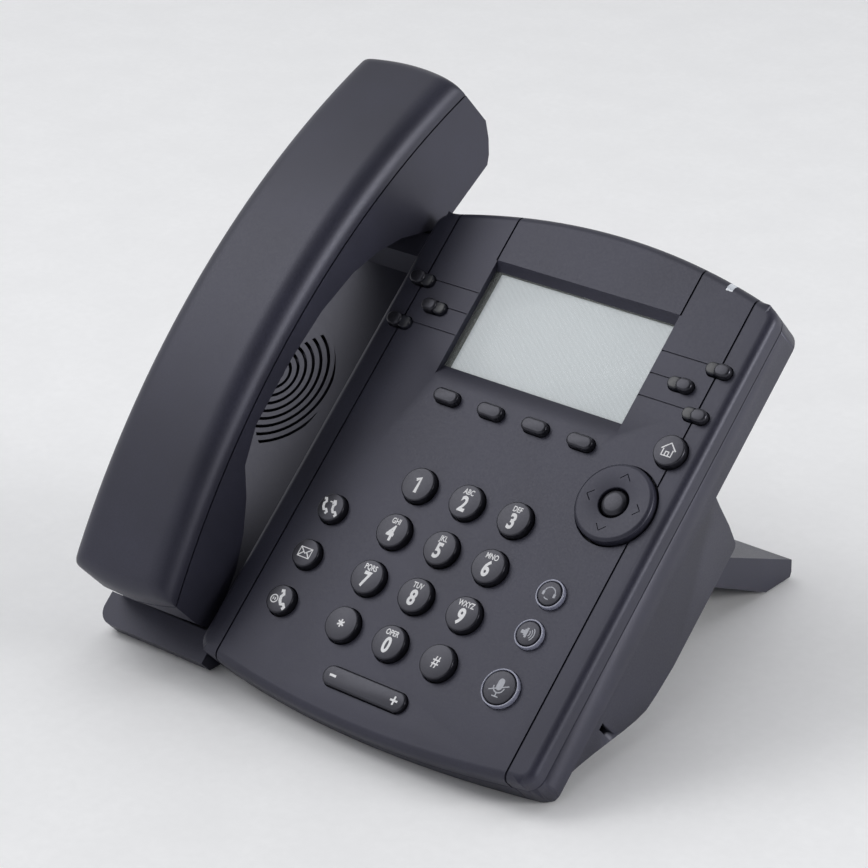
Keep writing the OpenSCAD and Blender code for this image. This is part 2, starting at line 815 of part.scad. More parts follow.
module desk_stand() {
    color("#23232b") {
        difference() {
            translate([stand_x + body_x, body_y, 0]) along_x(-stand_w / 2, stand_w / 2) leg_outline_2d();
            // Cable window through the leg
            translate([stand_x + body_x, body_y + 82, 20])
                cube([stand_w - 60, 40, 80], center = true);
            // Trim against the bulge's rear wall
            on_face() block([-200, -200, bulge_back], [200, 200, 200]);
        }
        on_face() on_stand_flange() block([-stand_flange_w / 2, 0, -stand_flange_t + 0.05],
            [stand_flange_w / 2, stand_flange_h, 0.5]);
    }
}

module stand_feet() {
    color("#151515") for (s = [-1, 1])
        translate([stand_x + body_x + s * (stand_w / 2 - 16), body_y + stand_foot_y, 0])
            linear_extrude(underside_z) pill_2d(24, 9);
}

module front_feet() {
    color("#151515") for (x = [cradle_left + 18, half_w - 24])
        translate([body_x + x, body_y + front_foot_y, 0]) linear_extrude(underside_z)
            pill_2d(20, front_foot_wd);
}

module nav_gimbal() {
    color("#77787c") on_face() translate([nav_x, nav_y, gimbal_w]) {
        difference() {
            cylinder(r = gimbal_r, h = gimbal_t, center = true);
            cylinder(r = gimbal_in_r, h = 2 * gimbal_t, center = true);
        }
        for (s = [-1, 1]) {
            translate([s * (gimbal_r - 0.5), 0, 0]) rotate([0, s * 90, 0])
                cylinder(r = gimbal_pin_r, h = ear_in_r + ear_t - gimbal_r + 0.5);
            translate([0, s * (gimbal_r - 0.5), 0]) rotate([-s * 90, 0, 0])
                cylinder(r = gimbal_pin_r, h = lug_in_r + lug_t - gimbal_r + 0.5);
        }
    }
}

module nav_ring() {
    color("#1f1f25") on_face() translate([nav_x, nav_y, 0]) {
        translate([0, 0, nav_bottom]) rotate_extrude($fn = 96) polygon([
            [nav_hole_r, 0], [nav_r, 0], [nav_r, 2.3],
            [nav_top_r + 0.5, nav_h - nav_bottom - 0.4],
            [nav_top_r, nav_h - nav_bottom], [nav_hole_r, nav_h - nav_bottom - 0.5]
        ]);
        for (s = [-1, 1]) translate([0, s * (lug_in_r + lug_t / 2), 0]) difference() {
            translate([0, 0, (nav_bottom + eps - 5.4) / 2])
                cube([3.4, lug_t, 5.4 + nav_bottom + eps], center = true);
            translate([0, 0, gimbal_w]) rotate([90, 0, 0])
                cylinder(r = gimbal_pin_r + pin_gap, h = 2 * lug_t, center = true);
        }
    }
}

module key_select() {
    color("#1c1c22") on_face() translate([nav_x, nav_y, 0]) {
        translate([0, 0, -3.2]) rotate_extrude() polygon([
            [0, 0], [select_r, 0], [select_r, select_h + 2.6], [select_r - 0.6, select_h + 3.2],
            [select_r * 0.5, select_h + 3.5], [0, select_h + 3.6]
        ]);
        translate([0, 0, -3.9]) cylinder(r = select_flange_r, h = 0.8);
        translate([0, 0, stem_tip]) cylinder(r = stem_r, h = -3.5 - stem_tip);
    }
}

module volume_rocker() {
    color("#1f1f25") on_face() translate([rocker_x, rocker_y, 0]) {
        translate([0, 0, -3]) linear_extrude(rocker_h + 2.6) pill_2d(rocker_l, rocker_wd);
        translate([0, 0, rocker_h - 0.5]) linear_extrude(0.4) pill_2d(rocker_l - 0.8, rocker_wd - 0.8);
        translate([0, 0, -3.9]) cube([3, rocker_wd - 1, 2], center = true);
        translate([0, 0, rocker_pin_w]) rotate([90, 0, 0])
            cylinder(r = rocker_pin_r, h = rocker_wd + 4.4, center = true);
    }
}

module dial_key(k) {
    color("#1f1f25") on_face() translate([dial_x(k), row_y(k[2]), 0]) round_key(dial_r, key_h);
}

module function_key(k) {
    color("#1f1f25") on_face() translate([-function_x, row_y(k[1]), 0]) round_key(function_r, key_h);
}

module key_home() {
    color("#1f1f25") on_face() translate([home_x, home_y, 0]) round_key(home_r, key_h);
}

module softkey(i) {
    color("#1f1f25") on_face() translate([softkey_x(i), softkey_y, 0]) pill_key(soft_l, soft_wd, key_h);
}

module line_key(k) {
    color("#1f1f25") on_face() translate([k[1], line_y(k), 0]) pill_key(line_l, line_wd, key_h);
}

module audio_key(k) {
    r = k[2] - ring_wd - key_gap;
    color("#26262c") on_face() translate([audio_x, k[1], 0]) {
        body_t = audio_h - audio_flange + eps;
        translate([0, 0, audio_flange - eps]) rotate_extrude() polygon([
            [0, 0], [r, 0], [r, body_t - 0.4], [r - 0.4, body_t], [0, body_t + 0.15]
        ]);
        translate([0, 0, audio_flange - flange_t]) cylinder(r = r + 0.8, h = flange_t);
        translate([0, 0, stem_tip]) cylinder(r = stem_r, h = audio_flange - stem_tip);
    }
}

// The handset's outline in plan, with slightly bowed ends
module handset_plan_2d(inset) {
    for (s = [-1, 1]) translate([handset_x, handset_y]) intersection() {
        translate([0, s * (handset_l / 2 - handset_end_r)]) circle(handset_end_r - inset, $fn = arc_fn);
        translate([0, s * handset_l / 4])
            square([handset_w - 2 * inset, handset_l / 2 + 2 * eps], center = true);
    }
}

// Sweeps a radius, x outline about the crown's axis across the phone
module about_crown_axis() {
    translate([handset_x, handset_y, axis_w]) rotate([0, 90, 0])
        rotate_extrude($fn = arc_fn) children();
}

// Height of the crown at a given y
function crown_w(y) = axis_w + sqrt(crown_r * crown_r - (y - handset_y) * (y - handset_y));

// Outline of the crown across the phone, as radius and x, with rounded long edges
module crown_2d(inset) {
    half = handset_w / 2 - inset;
    r = crown_edge_r - inset;
    low = inset > 0 ? seam_r - 5 : seam_r;
    high = crown_r - inset;
    corner = [for (a = [0:15:90]) [high - r + r * cos(a), half - r + r * sin(a)]];
    polygon(concat(
        [[low, half], [low, -half]],
        [for (i = [len(corner) - 1:-1:0]) [corner[i][0], -corner[i][1]]],
        corner
    ));
}

// The space between the crown and the seam, inside the handset's plan outline
module crown_solid(inset) {
    intersection() {
        along_x(handset_left + inset, handset_right - inset) translate([handset_y, axis_w]) difference() {
            circle(crown_r - inset, $fn = arc_fn);
            circle(inset > 0 ? seam_r - 5 : seam_r, $fn = arc_fn);
        }
        translate([0, 0, -20]) linear_extrude(90) handset_plan_2d(inset);
        about_crown_axis() crown_2d(inset);
    }
}

module handset_shell() {
    color("#24242c") on_face() {
        difference() {
            crown_solid(0);
            crown_solid(wall);
        }
        // Screw bosses under the crown
        for (y = HANDSET_SCREWS) translate([handset_x, y, grip_w(y) + wall + 1.7]) difference() {
            cylinder(r = boss_r - 0.4, h = crown_w(y) - wall / 2 - grip_w(y) - wall - 1.7);
            translate([0, 0, -1]) cylinder(r = shank_r + pin_gap, h = 8.5);
        }
    }
}

UNDERSIDE = concat(ear_end, ear_face, ear_rise, grip_underside, mouth_rise, mouth_face, mouth_end);

module inner_profile_2d(inset) {
    offset(delta = -inset) polygon(concat(
        UNDERSIDE, [[handset_bottom_y, 60], [handset_top_y, 60]]
    ));
}

module handset_inner_shell() {
    color("#202028") on_face() difference() {
        intersection() {
            along_x(handset_left, handset_right) inner_profile_2d(0);
            translate([0, 0, -20]) linear_extrude(90) handset_plan_2d(0);
            about_crown_axis() translate([seam_r - seam_gap - 100, -50]) square([100, 100]);
        }
        intersection() {
            along_x(handset_left + wall, handset_right - wall) inner_profile_2d(wall);
            translate([0, 0, -20]) linear_extrude(90) handset_plan_2d(wall);
        }
        on_ear_face() for (a = [0:60:300]) rotate([0, 0, a]) translate([5, 0, -1])
            cylinder(r = 0.9, h = 2 * wall + 2, $fn = 24);
        on_ear_face() translate([0, 0, -1]) cylinder(r = 0.9, h = 2 * wall + 2, $fn = 24);
        on_mouth_face() translate([0, 0, -1]) cylinder(r = 0.9, h = 2 * wall + 2, $fn = 24);
        // Way in for the handset cord's plug
        block([plug_x - 4.2, handset_bottom_y - 1, plug_w],
            [plug_x + 4.2, handset_bottom_y + 9, plug_w + 6.6]);
        // Counterbored holes for the handset screws
        for (y = HANDSET_SCREWS) translate([handset_x, y, grip_w(y) - 3]) {
            cylinder(r = shank_r + 0.3, h = 8);
            cylinder(r = head_r + 0.3, h = 3 + handset_seat);
        }
    }
}

// Underside of the ear end's inner slope at a given y, and of the corner below it
function on_line(a, b, y) = a[1] + (b[1] - a[1]) * (y - a[0]) / (b[0] - a[0]);
function rise_w(y) = on_line(ear_rise[0], ear_rise[1], y);
function corner_w(y) = on_line(ear_face[1], ear_rise[0], y);
function grip_w(y) =
    y > 0 ? on_line(ear_rise[3], ear_rise[4], y) : on_line(grip_underside[1], mouth_rise[0], y);

ear_slope = atan2(ear_face[1][1] - ear_face[0][1], ear_face[0][0] - ear_face[1][0]);
module on_ear_face() {
    mid = (ear_face[0] + ear_face[1]) / 2;
    translate([handset_x, mid[0], mid[1]]) rotate([-ear_slope, 0, 0]) children();
}
mouth_slope = atan2(mouth_face[0][1] - mouth_rise[3][1], mouth_rise[3][0] - mouth_face[0][0]);
module on_mouth_face() {
    mid = (mouth_rise[3] + mouth_face[0]) / 2;
    translate([handset_x + microphone_side, mid[0], mid[1]]) rotate([-mouth_slope, 0, 0]) children();
}

module handset_receiver() {
    color("#3a3a3e") on_face() on_ear_face() translate([0, 0, wall]) cylinder(r = receiver_r, h = receiver_t);
}

module handset_microphone() {
    color("#3a3a3e") on_face() on_mouth_face() translate([0, 0, wall])
        cylinder(r = microphone_r, h = 4);
}

module handset_jack() {
    color("#151517") on_face() difference() {
        block([plug_x - 6, handset_bottom_y + 7.6, plug_w - 1],
            [plug_x + 6, handset_bottom_y + 19.6, plug_w + 8.2]);
        block([plug_x - 3.9, handset_bottom_y, plug_w + 0.2],
            [plug_x + 3.9, handset_bottom_y + 18, plug_w + 6.4]);
    }
}

module handset_weight() {
    bottom = grip_underside[0][1] + wall + 0.1;
    color("#8a8d90") on_face() block([handset_x - 12, -12, bottom], [handset_x + 12, 24, bottom + 5]);
}

module handset_screws() {
    color("silver") on_face() for (y = HANDSET_SCREWS) translate([handset_x, y, grip_w(y) + handset_seat]) {
        translate([0, 0, -head_t + 0.4]) cylinder(r = head_r, h = head_t - 0.4);
        translate([0, 0, -eps]) cylinder(r = shank_r, h = 9);
    }
}

face_cover();
rear_housing();
handset_cradle();
display_window();
display_module();
message_lamp();
audio_light_rings();
keypad_mat();
main_board();
jack_board();
network_jacks();
audio_jacks();
power_jack();
loudspeaker();
handsfree_microphone();
desk_stand();
stand_feet();
front_feet();
housing_screws();
nav_gimbal();
handset_shell();
handset_inner_shell();
handset_receiver();
handset_microphone();
handset_jack();
handset_weight();
handset_screws();
hook_switch();
for (k = DIAL) dial_key(k);
for (k = FUNCTION) function_key(k);
key_home();
for (i = [0:3]) softkey(i);
for (k = LINE) line_key(k);
for (k = AUDIO) audio_key(k);
nav_ring();
key_select();
volume_rocker();
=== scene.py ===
# %% [markdown]
# # A desk IP phone, dressed in Blender
# The construction comes from a imported CAD model, which this script loads as a fixed frame.
# The mouldings on the face and the handset's outer shell are then modelled again with rounded edges
# and printed legends, the rear housing keeps its CAD mesh with two corners cut round, and the other
# parts keep their CAD meshes and get a real material. Measures are taken from the frame, so a piece
# always lies where its CAD node does.

# %% Load the frame
import json
import math

import bmesh
import bpy
from mathutils import Matrix, Vector


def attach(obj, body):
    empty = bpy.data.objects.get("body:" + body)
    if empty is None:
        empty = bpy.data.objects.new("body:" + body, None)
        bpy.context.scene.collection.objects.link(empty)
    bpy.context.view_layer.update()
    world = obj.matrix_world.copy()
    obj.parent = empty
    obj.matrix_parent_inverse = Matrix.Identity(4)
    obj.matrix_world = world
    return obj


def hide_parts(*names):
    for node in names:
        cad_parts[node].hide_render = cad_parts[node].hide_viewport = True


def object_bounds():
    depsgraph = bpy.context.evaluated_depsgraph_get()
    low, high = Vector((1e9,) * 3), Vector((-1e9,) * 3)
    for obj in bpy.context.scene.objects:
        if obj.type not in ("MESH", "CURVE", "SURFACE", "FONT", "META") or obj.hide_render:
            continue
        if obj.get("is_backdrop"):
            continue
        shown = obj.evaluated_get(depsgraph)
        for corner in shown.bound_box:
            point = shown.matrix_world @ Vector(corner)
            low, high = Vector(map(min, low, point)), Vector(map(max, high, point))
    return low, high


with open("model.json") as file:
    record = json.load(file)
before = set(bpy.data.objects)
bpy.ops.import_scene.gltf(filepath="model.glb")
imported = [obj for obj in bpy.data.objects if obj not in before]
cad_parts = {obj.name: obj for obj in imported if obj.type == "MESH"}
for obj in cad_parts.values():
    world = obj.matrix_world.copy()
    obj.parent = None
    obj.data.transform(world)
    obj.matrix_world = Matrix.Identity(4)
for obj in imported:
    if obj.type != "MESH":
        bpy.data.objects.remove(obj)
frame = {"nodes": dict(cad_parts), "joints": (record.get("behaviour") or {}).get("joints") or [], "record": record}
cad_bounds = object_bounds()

scene = bpy.context.scene

# %% [markdown]
# ## The face frame
# The phone's face is tilted back from the desk, so every moulding on it is easier to draw
# flat. The joints say which way the face points: keys and handset move along its normal,
# and the navigation ring tilts about the two axes that lie in it. Pieces are drawn in
# millimetres with x to the right, y up the face and z out of it, and one matrix puts the
# finished mesh on the tilted face.

# %% Directions of the face, and its middle
MM = 0.001
joints = {joint["name"]: joint for joint in frame["joints"]}
right = Vector(joints["nav_tilt_up_down"]["axis"])
up = Vector(joints["nav_tilt_left_right"]["axis"])
out = Vector(joints["handset_lift"]["axis"])
NAV_PIVOT = Vector((50.7, 7.1, -4.4))
pivot = Vector(joints["nav_tilt_up_down"]["pos_m"])
face_turn = Matrix((right, up, out)).transposed()
face_middle = pivot - face_turn @ (NAV_PIVOT * MM)
FACE = Matrix.Translation(face_middle) @ face_turn.to_4x4() @ Matrix.Scale(MM, 4)
TO_FACE = FACE.inverted()


def face_box(node):
    """Lowest and highest corner of a CAD node in the face frame, in millimetres."""
    points = [TO_FACE @ v.co for v in frame["nodes"][node].data.vertices]
    low = Vector([min(p[i] for p in points) for i in range(3)])
    high = Vector([max(p[i] for p in points) for i in range(3)])
    return low, high


cover_low, cover_high = face_box("face_cover")
print("face middle", [round(c / MM, 1) for c in face_middle])
print("cover", [round(c, 1) for c in cover_low], [round(c, 1) for c in cover_high])

# %% [markdown]
# ## The camera
# A long lens from the right and above, as for a product picture: the view is set by how far
# it is turned and tipped, and it stands off from the middle of the face.

# %% Camera
TURN = math.radians(39.62)
TIP = math.radians(24.83)
camera_data = bpy.data.cameras.new("camera")
camera_data.lens = 128.43
camera_data.sensor_width = 36
camera_data.clip_end = 20
camera = bpy.data.objects.new("camera", camera_data)
scene.collection.objects.link(camera)
camera.location = face_middle + Vector((567.2, -709.2, 436.9)) * MM
camera.rotation_euler = (math.pi / 2 - TIP, 0, TURN)
scene.camera = camera
print("camera stands", round((camera.location - face_middle).length, 3), "m away")

# %% [markdown]
# ## Helpers for materials
# Colours are easier to compare as the hex values that a picture editor shows. Blender
# wants them linear, so one function converts them. A second one adds a node with its
# settings and links, which keeps each material short enough to read.

# %% Colour and node helpers
def colour(text):
    """Linear colour from an sRGB hex value such as 2a2a33."""
    parts = [int(text[i:i + 2], 16) / 255 for i in (0, 2, 4)]
    linear = [c / 12.92 if c <= 0.04045 else ((c + 0.055) / 1.055) ** 2.4 for c in parts]
    return (*linear, 1)


def add(tree, kind, inputs=None, **settings):
    """Adds a node. An input is a value, or another node's output socket."""
    made = tree.nodes.new(kind)
    for name, value in settings.items():
        setattr(made, name, value)
    for name, value in (inputs or {}).items():
        if isinstance(value, bpy.types.NodeSocket):
            tree.links.new(value, made.inputs[name])
        else:
            made.inputs[name].default_value = value
    return made


def moulded(name, dark, light, rough, grain_mm, depth_mm, **shader):
    """A moulded or drawn surface whose tone, roughness and relief follow a fine grain."""
    material = bpy.data.materials.new(name)
    material.use_nodes = True
    tree = material.node_tree
    tree.nodes.clear()
    place = add(tree, "ShaderNodeTexCoord").outputs["Object"]
    grain = add(tree, "ShaderNodeTexNoise", {"Vector": place, "Scale": 1 / (grain_mm * MM),
                                             "Detail": 3.0, "Roughness": 0.6})
    cloud = add(tree, "ShaderNodeTexNoise", {"Vector": place, "Scale": 1 / (30 * MM),
                                             "Detail": 2.0})
    both = add(tree, "ShaderNodeMath", {0: grain.outputs["Fac"], 1: cloud.outputs["Fac"]},
               operation="MULTIPLY")
    tone = add(tree, "ShaderNodeValToRGB", {"Fac": both.outputs[0]})
    tone.color_ramp.elements[0].position = 0.12
    tone.color_ramp.elements[0].color = colour(dark)
    tone.color_ramp.elements[1].position = 0.42
    tone.color_ramp.elements[1].color = colour(light)
    gloss = add(tree, "ShaderNodeMapRange", {"Value": grain.outputs["Fac"], "From Min": 0.3,
                                             "From Max": 0.7, "To Min": rough - 0.05,
                                             "To Max": rough + 0.05})
    relief = add(tree, "ShaderNodeBump", {"Height": grain.outputs["Fac"], "Strength": 0.5,
                                          "Distance": depth_mm * MM})
    inputs = {"Base Color": tone.outputs["Color"], "Roughness": gloss.outputs["Result"],
              "Normal": relief.outputs["Normal"]}
    inputs.update(shader)
    surface = add(tree, "ShaderNodeBsdfPrincipled", inputs)
    add(tree, "ShaderNodeOutputMaterial", {"Surface": surface.outputs["BSDF"]})
    return material


print("a mid grey is", [round(c, 3) for c in colour("808080")[:3]])

# %% [markdown]
# ## Materials
# The casing is ABS moulded in a spark-eroded tool: near black with a cool cast, and a fine
# grain that spreads a highlight into a soft band. The grain is about 0.3 mm on the real
# thing, and is drawn at 0.6 mm so that it still shows. The keys are the same plastic from
# a smoother tool, so they are darker and their edges glint.

# %% Plastics of the casing and keys
COOL = {"Specular Tint": (0.86, 0.86, 1.0, 1.0)}
abs_casing = moulded("textured_abs", "22222c", "2d2d3a", 0.44, 0.6, 0.03, **COOL)
abs_keys = moulded("satin_abs", "141418", "1d1d23", 0.34, 0.5, 0.01, **COOL)
ink_white = moulded("printed_ink_white", "dadadc", "f0f0f2", 0.5, 0.4, 0.004)
ink_grey = moulded("printed_ink_grey", "a4a6ae", "babcc4", 0.5, 0.4, 0.004)
print("plastics ready")

# %% [markdown]
# The light rings and the message lamp are clear polycarbonate light pipes. Unlit they look
# smoky, because the dark parts behind them show through. The window is a thin hard-coated
# acrylic pane. It is mostly see-through, so it gets a low alpha and keeps its gloss.

# %% Clear plastics and the display
smoky_polycarbonate = moulded("smoky_polycarbonate", "84869a", "9a9cae", 0.3, 1.5, 0.002,
                              **{"IOR": 1.58, "Coat Weight": 0.4})
clear_polycarbonate = moulded("clear_polycarbonate", "c4c9d2", "e0e4ea", 0.15, 1.5, 0.002,
                              **{"IOR": 1.58, "Coat Weight": 0.4})
lens_polycarbonate = moulded("tinted_lens", "14151c", "23252f", 0.34, 1.5, 0.002,
                             **{"IOR": 1.5})
acrylic_pane = moulded("hard_coated_acrylic", "e8efec", "f4f8f6", 0.1, 2.0, 0.001,
                       **{"IOR": 1.49, "Alpha": 0.1})
display_bezel = moulded("display_frame_steel", "15160f", "24251c", 0.3, 0.8, 0.004)

# %% The reflector behind the liquid crystal
# Faint diagonal bands, 0.7 mm apart, stand for the dot grid, which is too fine to show.
liquid_crystal = bpy.data.materials.new("liquid_crystal_panel")
liquid_crystal.use_nodes = True
tree = liquid_crystal.node_tree
tree.nodes.clear()
place = add(tree, "ShaderNodeTexCoord").outputs["Object"]
bands = add(tree, "ShaderNodeTexWave", {"Vector": place, "Scale": 1 / (0.7 * MM) / 6.3,
                                        "Distortion": 1.5, "Detail": 1.0,
                                        "Detail Scale": 0.4}, bands_direction="DIAGONAL")
tone = add(tree, "ShaderNodeValToRGB", {"Fac": bands.outputs["Fac"]})
tone.color_ramp.elements[0].color = colour("ccd2d6")
tone.color_ramp.elements[1].color = colour("d2d8dc")
surface = add(tree, "ShaderNodeBsdfPrincipled", {"Base Color": tone.outputs["Color"],
                                                 "Roughness": 0.35})
add(tree, "ShaderNodeOutputMaterial", {"Surface": surface.outputs["BSDF"]})
print("display ready")

# %% [markdown]
# Inside there are circuit boards with a green solder mask, silicone, nickel-plated steel,
# black nylon sockets and a paper cone. They show from below, and through the openings.

# %% Materials inside and underneath
METAL = {"Metallic": 1.0}
inside = {
    "housing_abs": abs_casing, "cradle_abs": abs_casing, "stand_abs": abs_casing,
    "cover_abs": abs_casing, "handset_abs": abs_casing, "key_abs": abs_keys,
    "hook_acetal": moulded("black_acetal", "16161a", "1e1e23", 0.3, 0.8, 0.004),
    "gimbal_acetal": moulded("grey_acetal", "5c5d62", "6c6d72", 0.35, 0.8, 0.004),
    "mat_silicone": moulded("silicone_rubber", "76787c", "86888c", 0.55, 0.7, 0.01),
    "circuit_board": moulded("solder_mask", "0d3a20", "16512e", 0.3, 1.2, 0.01),
    "jack_shield": moulded("nickel_plated_steel", "a0a2a6", "b8babe", 0.28, 0.8, 0.004, **METAL),
    "jack_nylon": moulded("black_nylon", "131315", "1c1c1f", 0.42, 0.6, 0.01),
    "speaker_frame": moulded("pulp_cone", "242427", "323236", 0.75, 0.9, 0.04),
    "capsule_can": moulded("drawn_aluminium", "6e7074", "84868a", 0.35, 0.8, 0.004, **METAL),
    "foot_rubber": moulded("foot_rubber", "101011", "1a1a1b", 0.7, 0.6, 0.02),
    "screw_steel": moulded("zinc_plated_steel", "989a9e", "b2b4b8", 0.32, 0.5, 0.004, **METAL),
    "weight_steel": moulded("mild_steel", "7c7e82", "929498", 0.4, 0.8, 0.01, **METAL),
    "window_acrylic": acrylic_pane, "display_glass": display_bezel,
    "lamp_acrylic": clear_polycarbonate, "ring_polycarbonate": smoky_polycarbonate,
}
slot_of = {part["node"]: part["material_slot"] for part in frame["record"]["subparts"]}
for name, node in frame["nodes"].items():
    node.data.materials.clear()
    node.data.materials.append(inside[slot_of[name]])
print("materials", len(bpy.data.materials))

# %% [markdown]
# ## Helpers for shapes
# A new piece is drawn as a bmesh in the face frame, so these helpers turn it into an object: they put
# the mesh on the face, shade it, say which body it rides on, and hide the CAD nodes that it stands
# for.

# %% From a bmesh to a finished piece
body_of = {node: body for body, nodes in frame["record"]["behaviour"]["bodies"].items()
           for node in nodes}
SHARP = math.radians(38)


def to_object(name, bm):
    """An object at the origin, in face millimetres, that modifiers can work on."""
    bmesh.ops.remove_doubles(bm, verts=bm.verts, dist=0.0005)
    bmesh.ops.recalc_face_normals(bm, faces=bm.faces)
    mesh = bpy.data.meshes.new(name)
    bm.to_mesh(mesh)
    bm.free()
    made = bpy.data.objects.new(name, mesh)
    scene.collection.objects.link(made)
    return made


def bake_modifiers(made):
    """Replaces the object's mesh with what its modifiers make of it."""
    bpy.context.view_layer.update()
    graph = bpy.context.evaluated_depsgraph_get()
    mesh = bpy.data.meshes.new_from_object(made.evaluated_get(graph))
    made.modifiers.clear()
    made.data = mesh


def settle(made, materials, *nodes):
    """Puts a face-frame mesh in its place, and lets it stand for CAD nodes."""
    made.data.transform(FACE)
    for material in materials:
        made.data.materials.append(material)
    made.data.shade_smooth()
    made.data.set_sharp_from_angle(angle=SHARP)
    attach(made, body_of[nodes[0]])
    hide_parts(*nodes)
    return made


def piece(name, bm, materials, *nodes):
    """A finished piece from a bmesh."""
    return settle(to_object(name, bm), materials, *nodes)


def cut(made, cutters, operation="DIFFERENCE"):
    """Takes the cutters' shapes out of an object, or keeps what they share, and removes them."""
    for cutter in cutters:
        modifier = made.modifiers.new("cut", "BOOLEAN")
        modifier.operation = operation
        modifier.solver = "EXACT"
        modifier.object = cutter
    bake_modifiers(made)
    for cutter in cutters:
        bpy.data.objects.remove(cutter)


print("bodies with nodes", len(set(body_of.values())))

# %% [markdown]
# Round pieces are turned: a half outline of radius and height is spun round the axis, and
# its rims are then bevelled. A pill is a circle pulled apart at its middle.

# %% Turned and pill shapes
TURN_STEPS = 64


def turned(profile, x, y, rims=(), soften=0.4):
    """Spins a radius, height outline about an upright axis, and rounds the named rims."""
    bm = bmesh.new()
    verts = [bm.verts.new((r, 0, z)) for r, z in profile]
    edges = [bm.edges.new(pair) for pair in zip(verts, verts[1:])]
    bmesh.ops.spin(bm, geom=verts + edges, cent=(0, 0, 0), axis=(0, 0, 1),
                   angle=math.tau, steps=TURN_STEPS, use_merge=True)
    bmesh.ops.remove_doubles(bm, verts=bm.verts, dist=0.0005)
    for r, z in rims:
        rim = [e for e in bm.edges if all(abs(v.co.z - z) < 1e-4 and
                                         abs(v.co.xy.length - r) < 1e-3 for v in e.verts)]
        bmesh.ops.bevel(bm, geom=rim, offset=soften, segments=4, profile=0.5,
                        affect="EDGES", material=-1)
    bmesh.ops.translate(bm, verts=bm.verts, vec=(x, y, 0))
    return bm


def pill(length, width, low, high, x, y, soften=0.5):
    """A solid with round ends along x and a softened top edge."""
    bm = bmesh.new()
    half_step = Matrix.Rotation(math.pi / TURN_STEPS, 4, "Z")
    bmesh.ops.create_circle(bm, cap_ends=True, segments=TURN_STEPS, radius=width / 2,
                            matrix=half_step)
    for v in bm.verts:
        v.co.x += math.copysign((length - width) / 2, v.co.x)
        v.co.z = low
    top = bmesh.ops.extrude_face_region(bm, geom=bm.faces[:])["geom"]
    raised = [g for g in top if isinstance(g, bmesh.types.BMVert)]
    bmesh.ops.translate(bm, verts=raised, vec=(0, 0, high - low))
    rim = [e for e in bm.edges if all(abs(v.co.z - high) < 1e-4 for v in e.verts)]
    if soften:
        bmesh.ops.bevel(bm, geom=rim, offset=soften, segments=4, profile=0.5,
                        affect="EDGES", material=-1)
    bmesh.ops.recalc_face_normals(bm, faces=bm.faces)
    bmesh.ops.translate(bm, verts=bm.verts, vec=(x, y, 0))
    return bm


def join(bm, other, material=0):
    """Adds another bmesh's or mesh's faces to a bmesh, with a material index."""
    mesh = other
    if isinstance(other, bmesh.types.BMesh):
        mesh = bpy.data.meshes.new("part")
        other.to_mesh(mesh)
        other.free()
    before = set(bm.faces)
    bm.from_mesh(mesh)
    for face in bm.faces:
        if face not in before:
            face.material_index = material
    bpy.data.meshes.remove(mesh)
    return bm


print("turning in", TURN_STEPS, "steps")

# %% [markdown]
# Legends are pad-printed in white. Letters come from a text object, and icons are strokes
# along a few points. Both are a film 0.05 mm thick that lies on the flat top of a key.

# %% Letters and strokes
FILM = 0.05


def as_mesh(curve, name, move):
    """Turns a curve or text into a mesh, and moves it."""
    holder = bpy.data.objects.new(name, curve)
    scene.collection.objects.link(holder)
    bpy.context.view_layer.update()
    graph = bpy.context.evaluated_depsgraph_get()
    mesh = bpy.data.meshes.new_from_object(holder.evaluated_get(graph))
    bpy.data.objects.remove(holder)
    bpy.data.curves.remove(curve)
    mesh.transform(move)
    return mesh


def letters(text, size, x, y, z, narrow=0.72, bold=0.03):
    """Printed characters, centred at x, y, on the height z."""
    curve = bpy.data.curves.new("letters", "FONT")
    curve.body = text
    curve.size = size
    curve.align_x = "CENTER"
    curve.align_y = "CENTER"
    curve.offset = bold * size
    curve.extrude = FILM / 2
    curve.resolution_u = 4
    return as_mesh(curve, "letters", Matrix.Translation((x, y, z)) @
                   Matrix.Diagonal((narrow, 1, 1, 1)))


def strokes(lines, width, x, y, z, thick=FILM):
    """Flattened lines through points, as a pen would draw an icon."""
    curve = bpy.data.curves.new("strokes", "CURVE")
    curve.dimensions = "3D"
    curve.bevel_depth = width / 2
    curve.bevel_resolution = 2
    curve.use_fill_caps = True
    for line in lines:
        closed = line[0] == line[-1]
        points = line[:-1] if closed else line
        spline = curve.splines.new("POLY")
        spline.points.add(len(points) - 1)
        for point, (px, py) in zip(spline.points, points):
            point.co = (px, py, 0, 1)
        spline.use_cyclic_u = closed
    return as_mesh(curve, "strokes", Matrix.Translation((x, y, z)) @
                   Matrix.Diagonal((1, 1, thick / width, 1)))


def arc(cx, cy, radius, start, end, steps=12):
    """Points along an arc, from one angle to another in degrees."""
    angles = [math.radians(start + (end - start) * i / steps) for i in range(steps + 1)]
    return [(cx + radius * math.cos(a), cy + radius * math.sin(a)) for a in angles]


def ring(cx, cy, radius):
    """A closed circle of points."""
    points = arc(cx, cy, radius, 0, 360, 20)
    return points[:-1] + [points[0]]


print("printed film", FILM, "mm")

# %% [markdown]
# ## Round keys
# A dial key is a turned cap on a flange that keeps it from falling out, over a stem that
# works its contact. The flange and stem sizes are read back from the CAD node, and the top
# is flat so that the print lies on it. The rim gets a wide bevel that catches the light.

# %% Caps with legends
FLANGE_OVER = 0.9
FLANGE_T = 0.8
FLANGE_TOP = -2.8
STEM_R = 2.0
CAD_DOME = 0.35


def key_profile(radius, top, stem_tip, flange_top=FLANGE_TOP, over=FLANGE_OVER):
    """Half outline of a round key, from its stem's tip to the middle of its top."""
    under = flange_top - FLANGE_T
    return [(0, stem_tip), (STEM_R, stem_tip), (STEM_R, under), (radius + over, under),
            (radius + over, flange_top), (radius, flange_top), (radius, top), (0, top)]


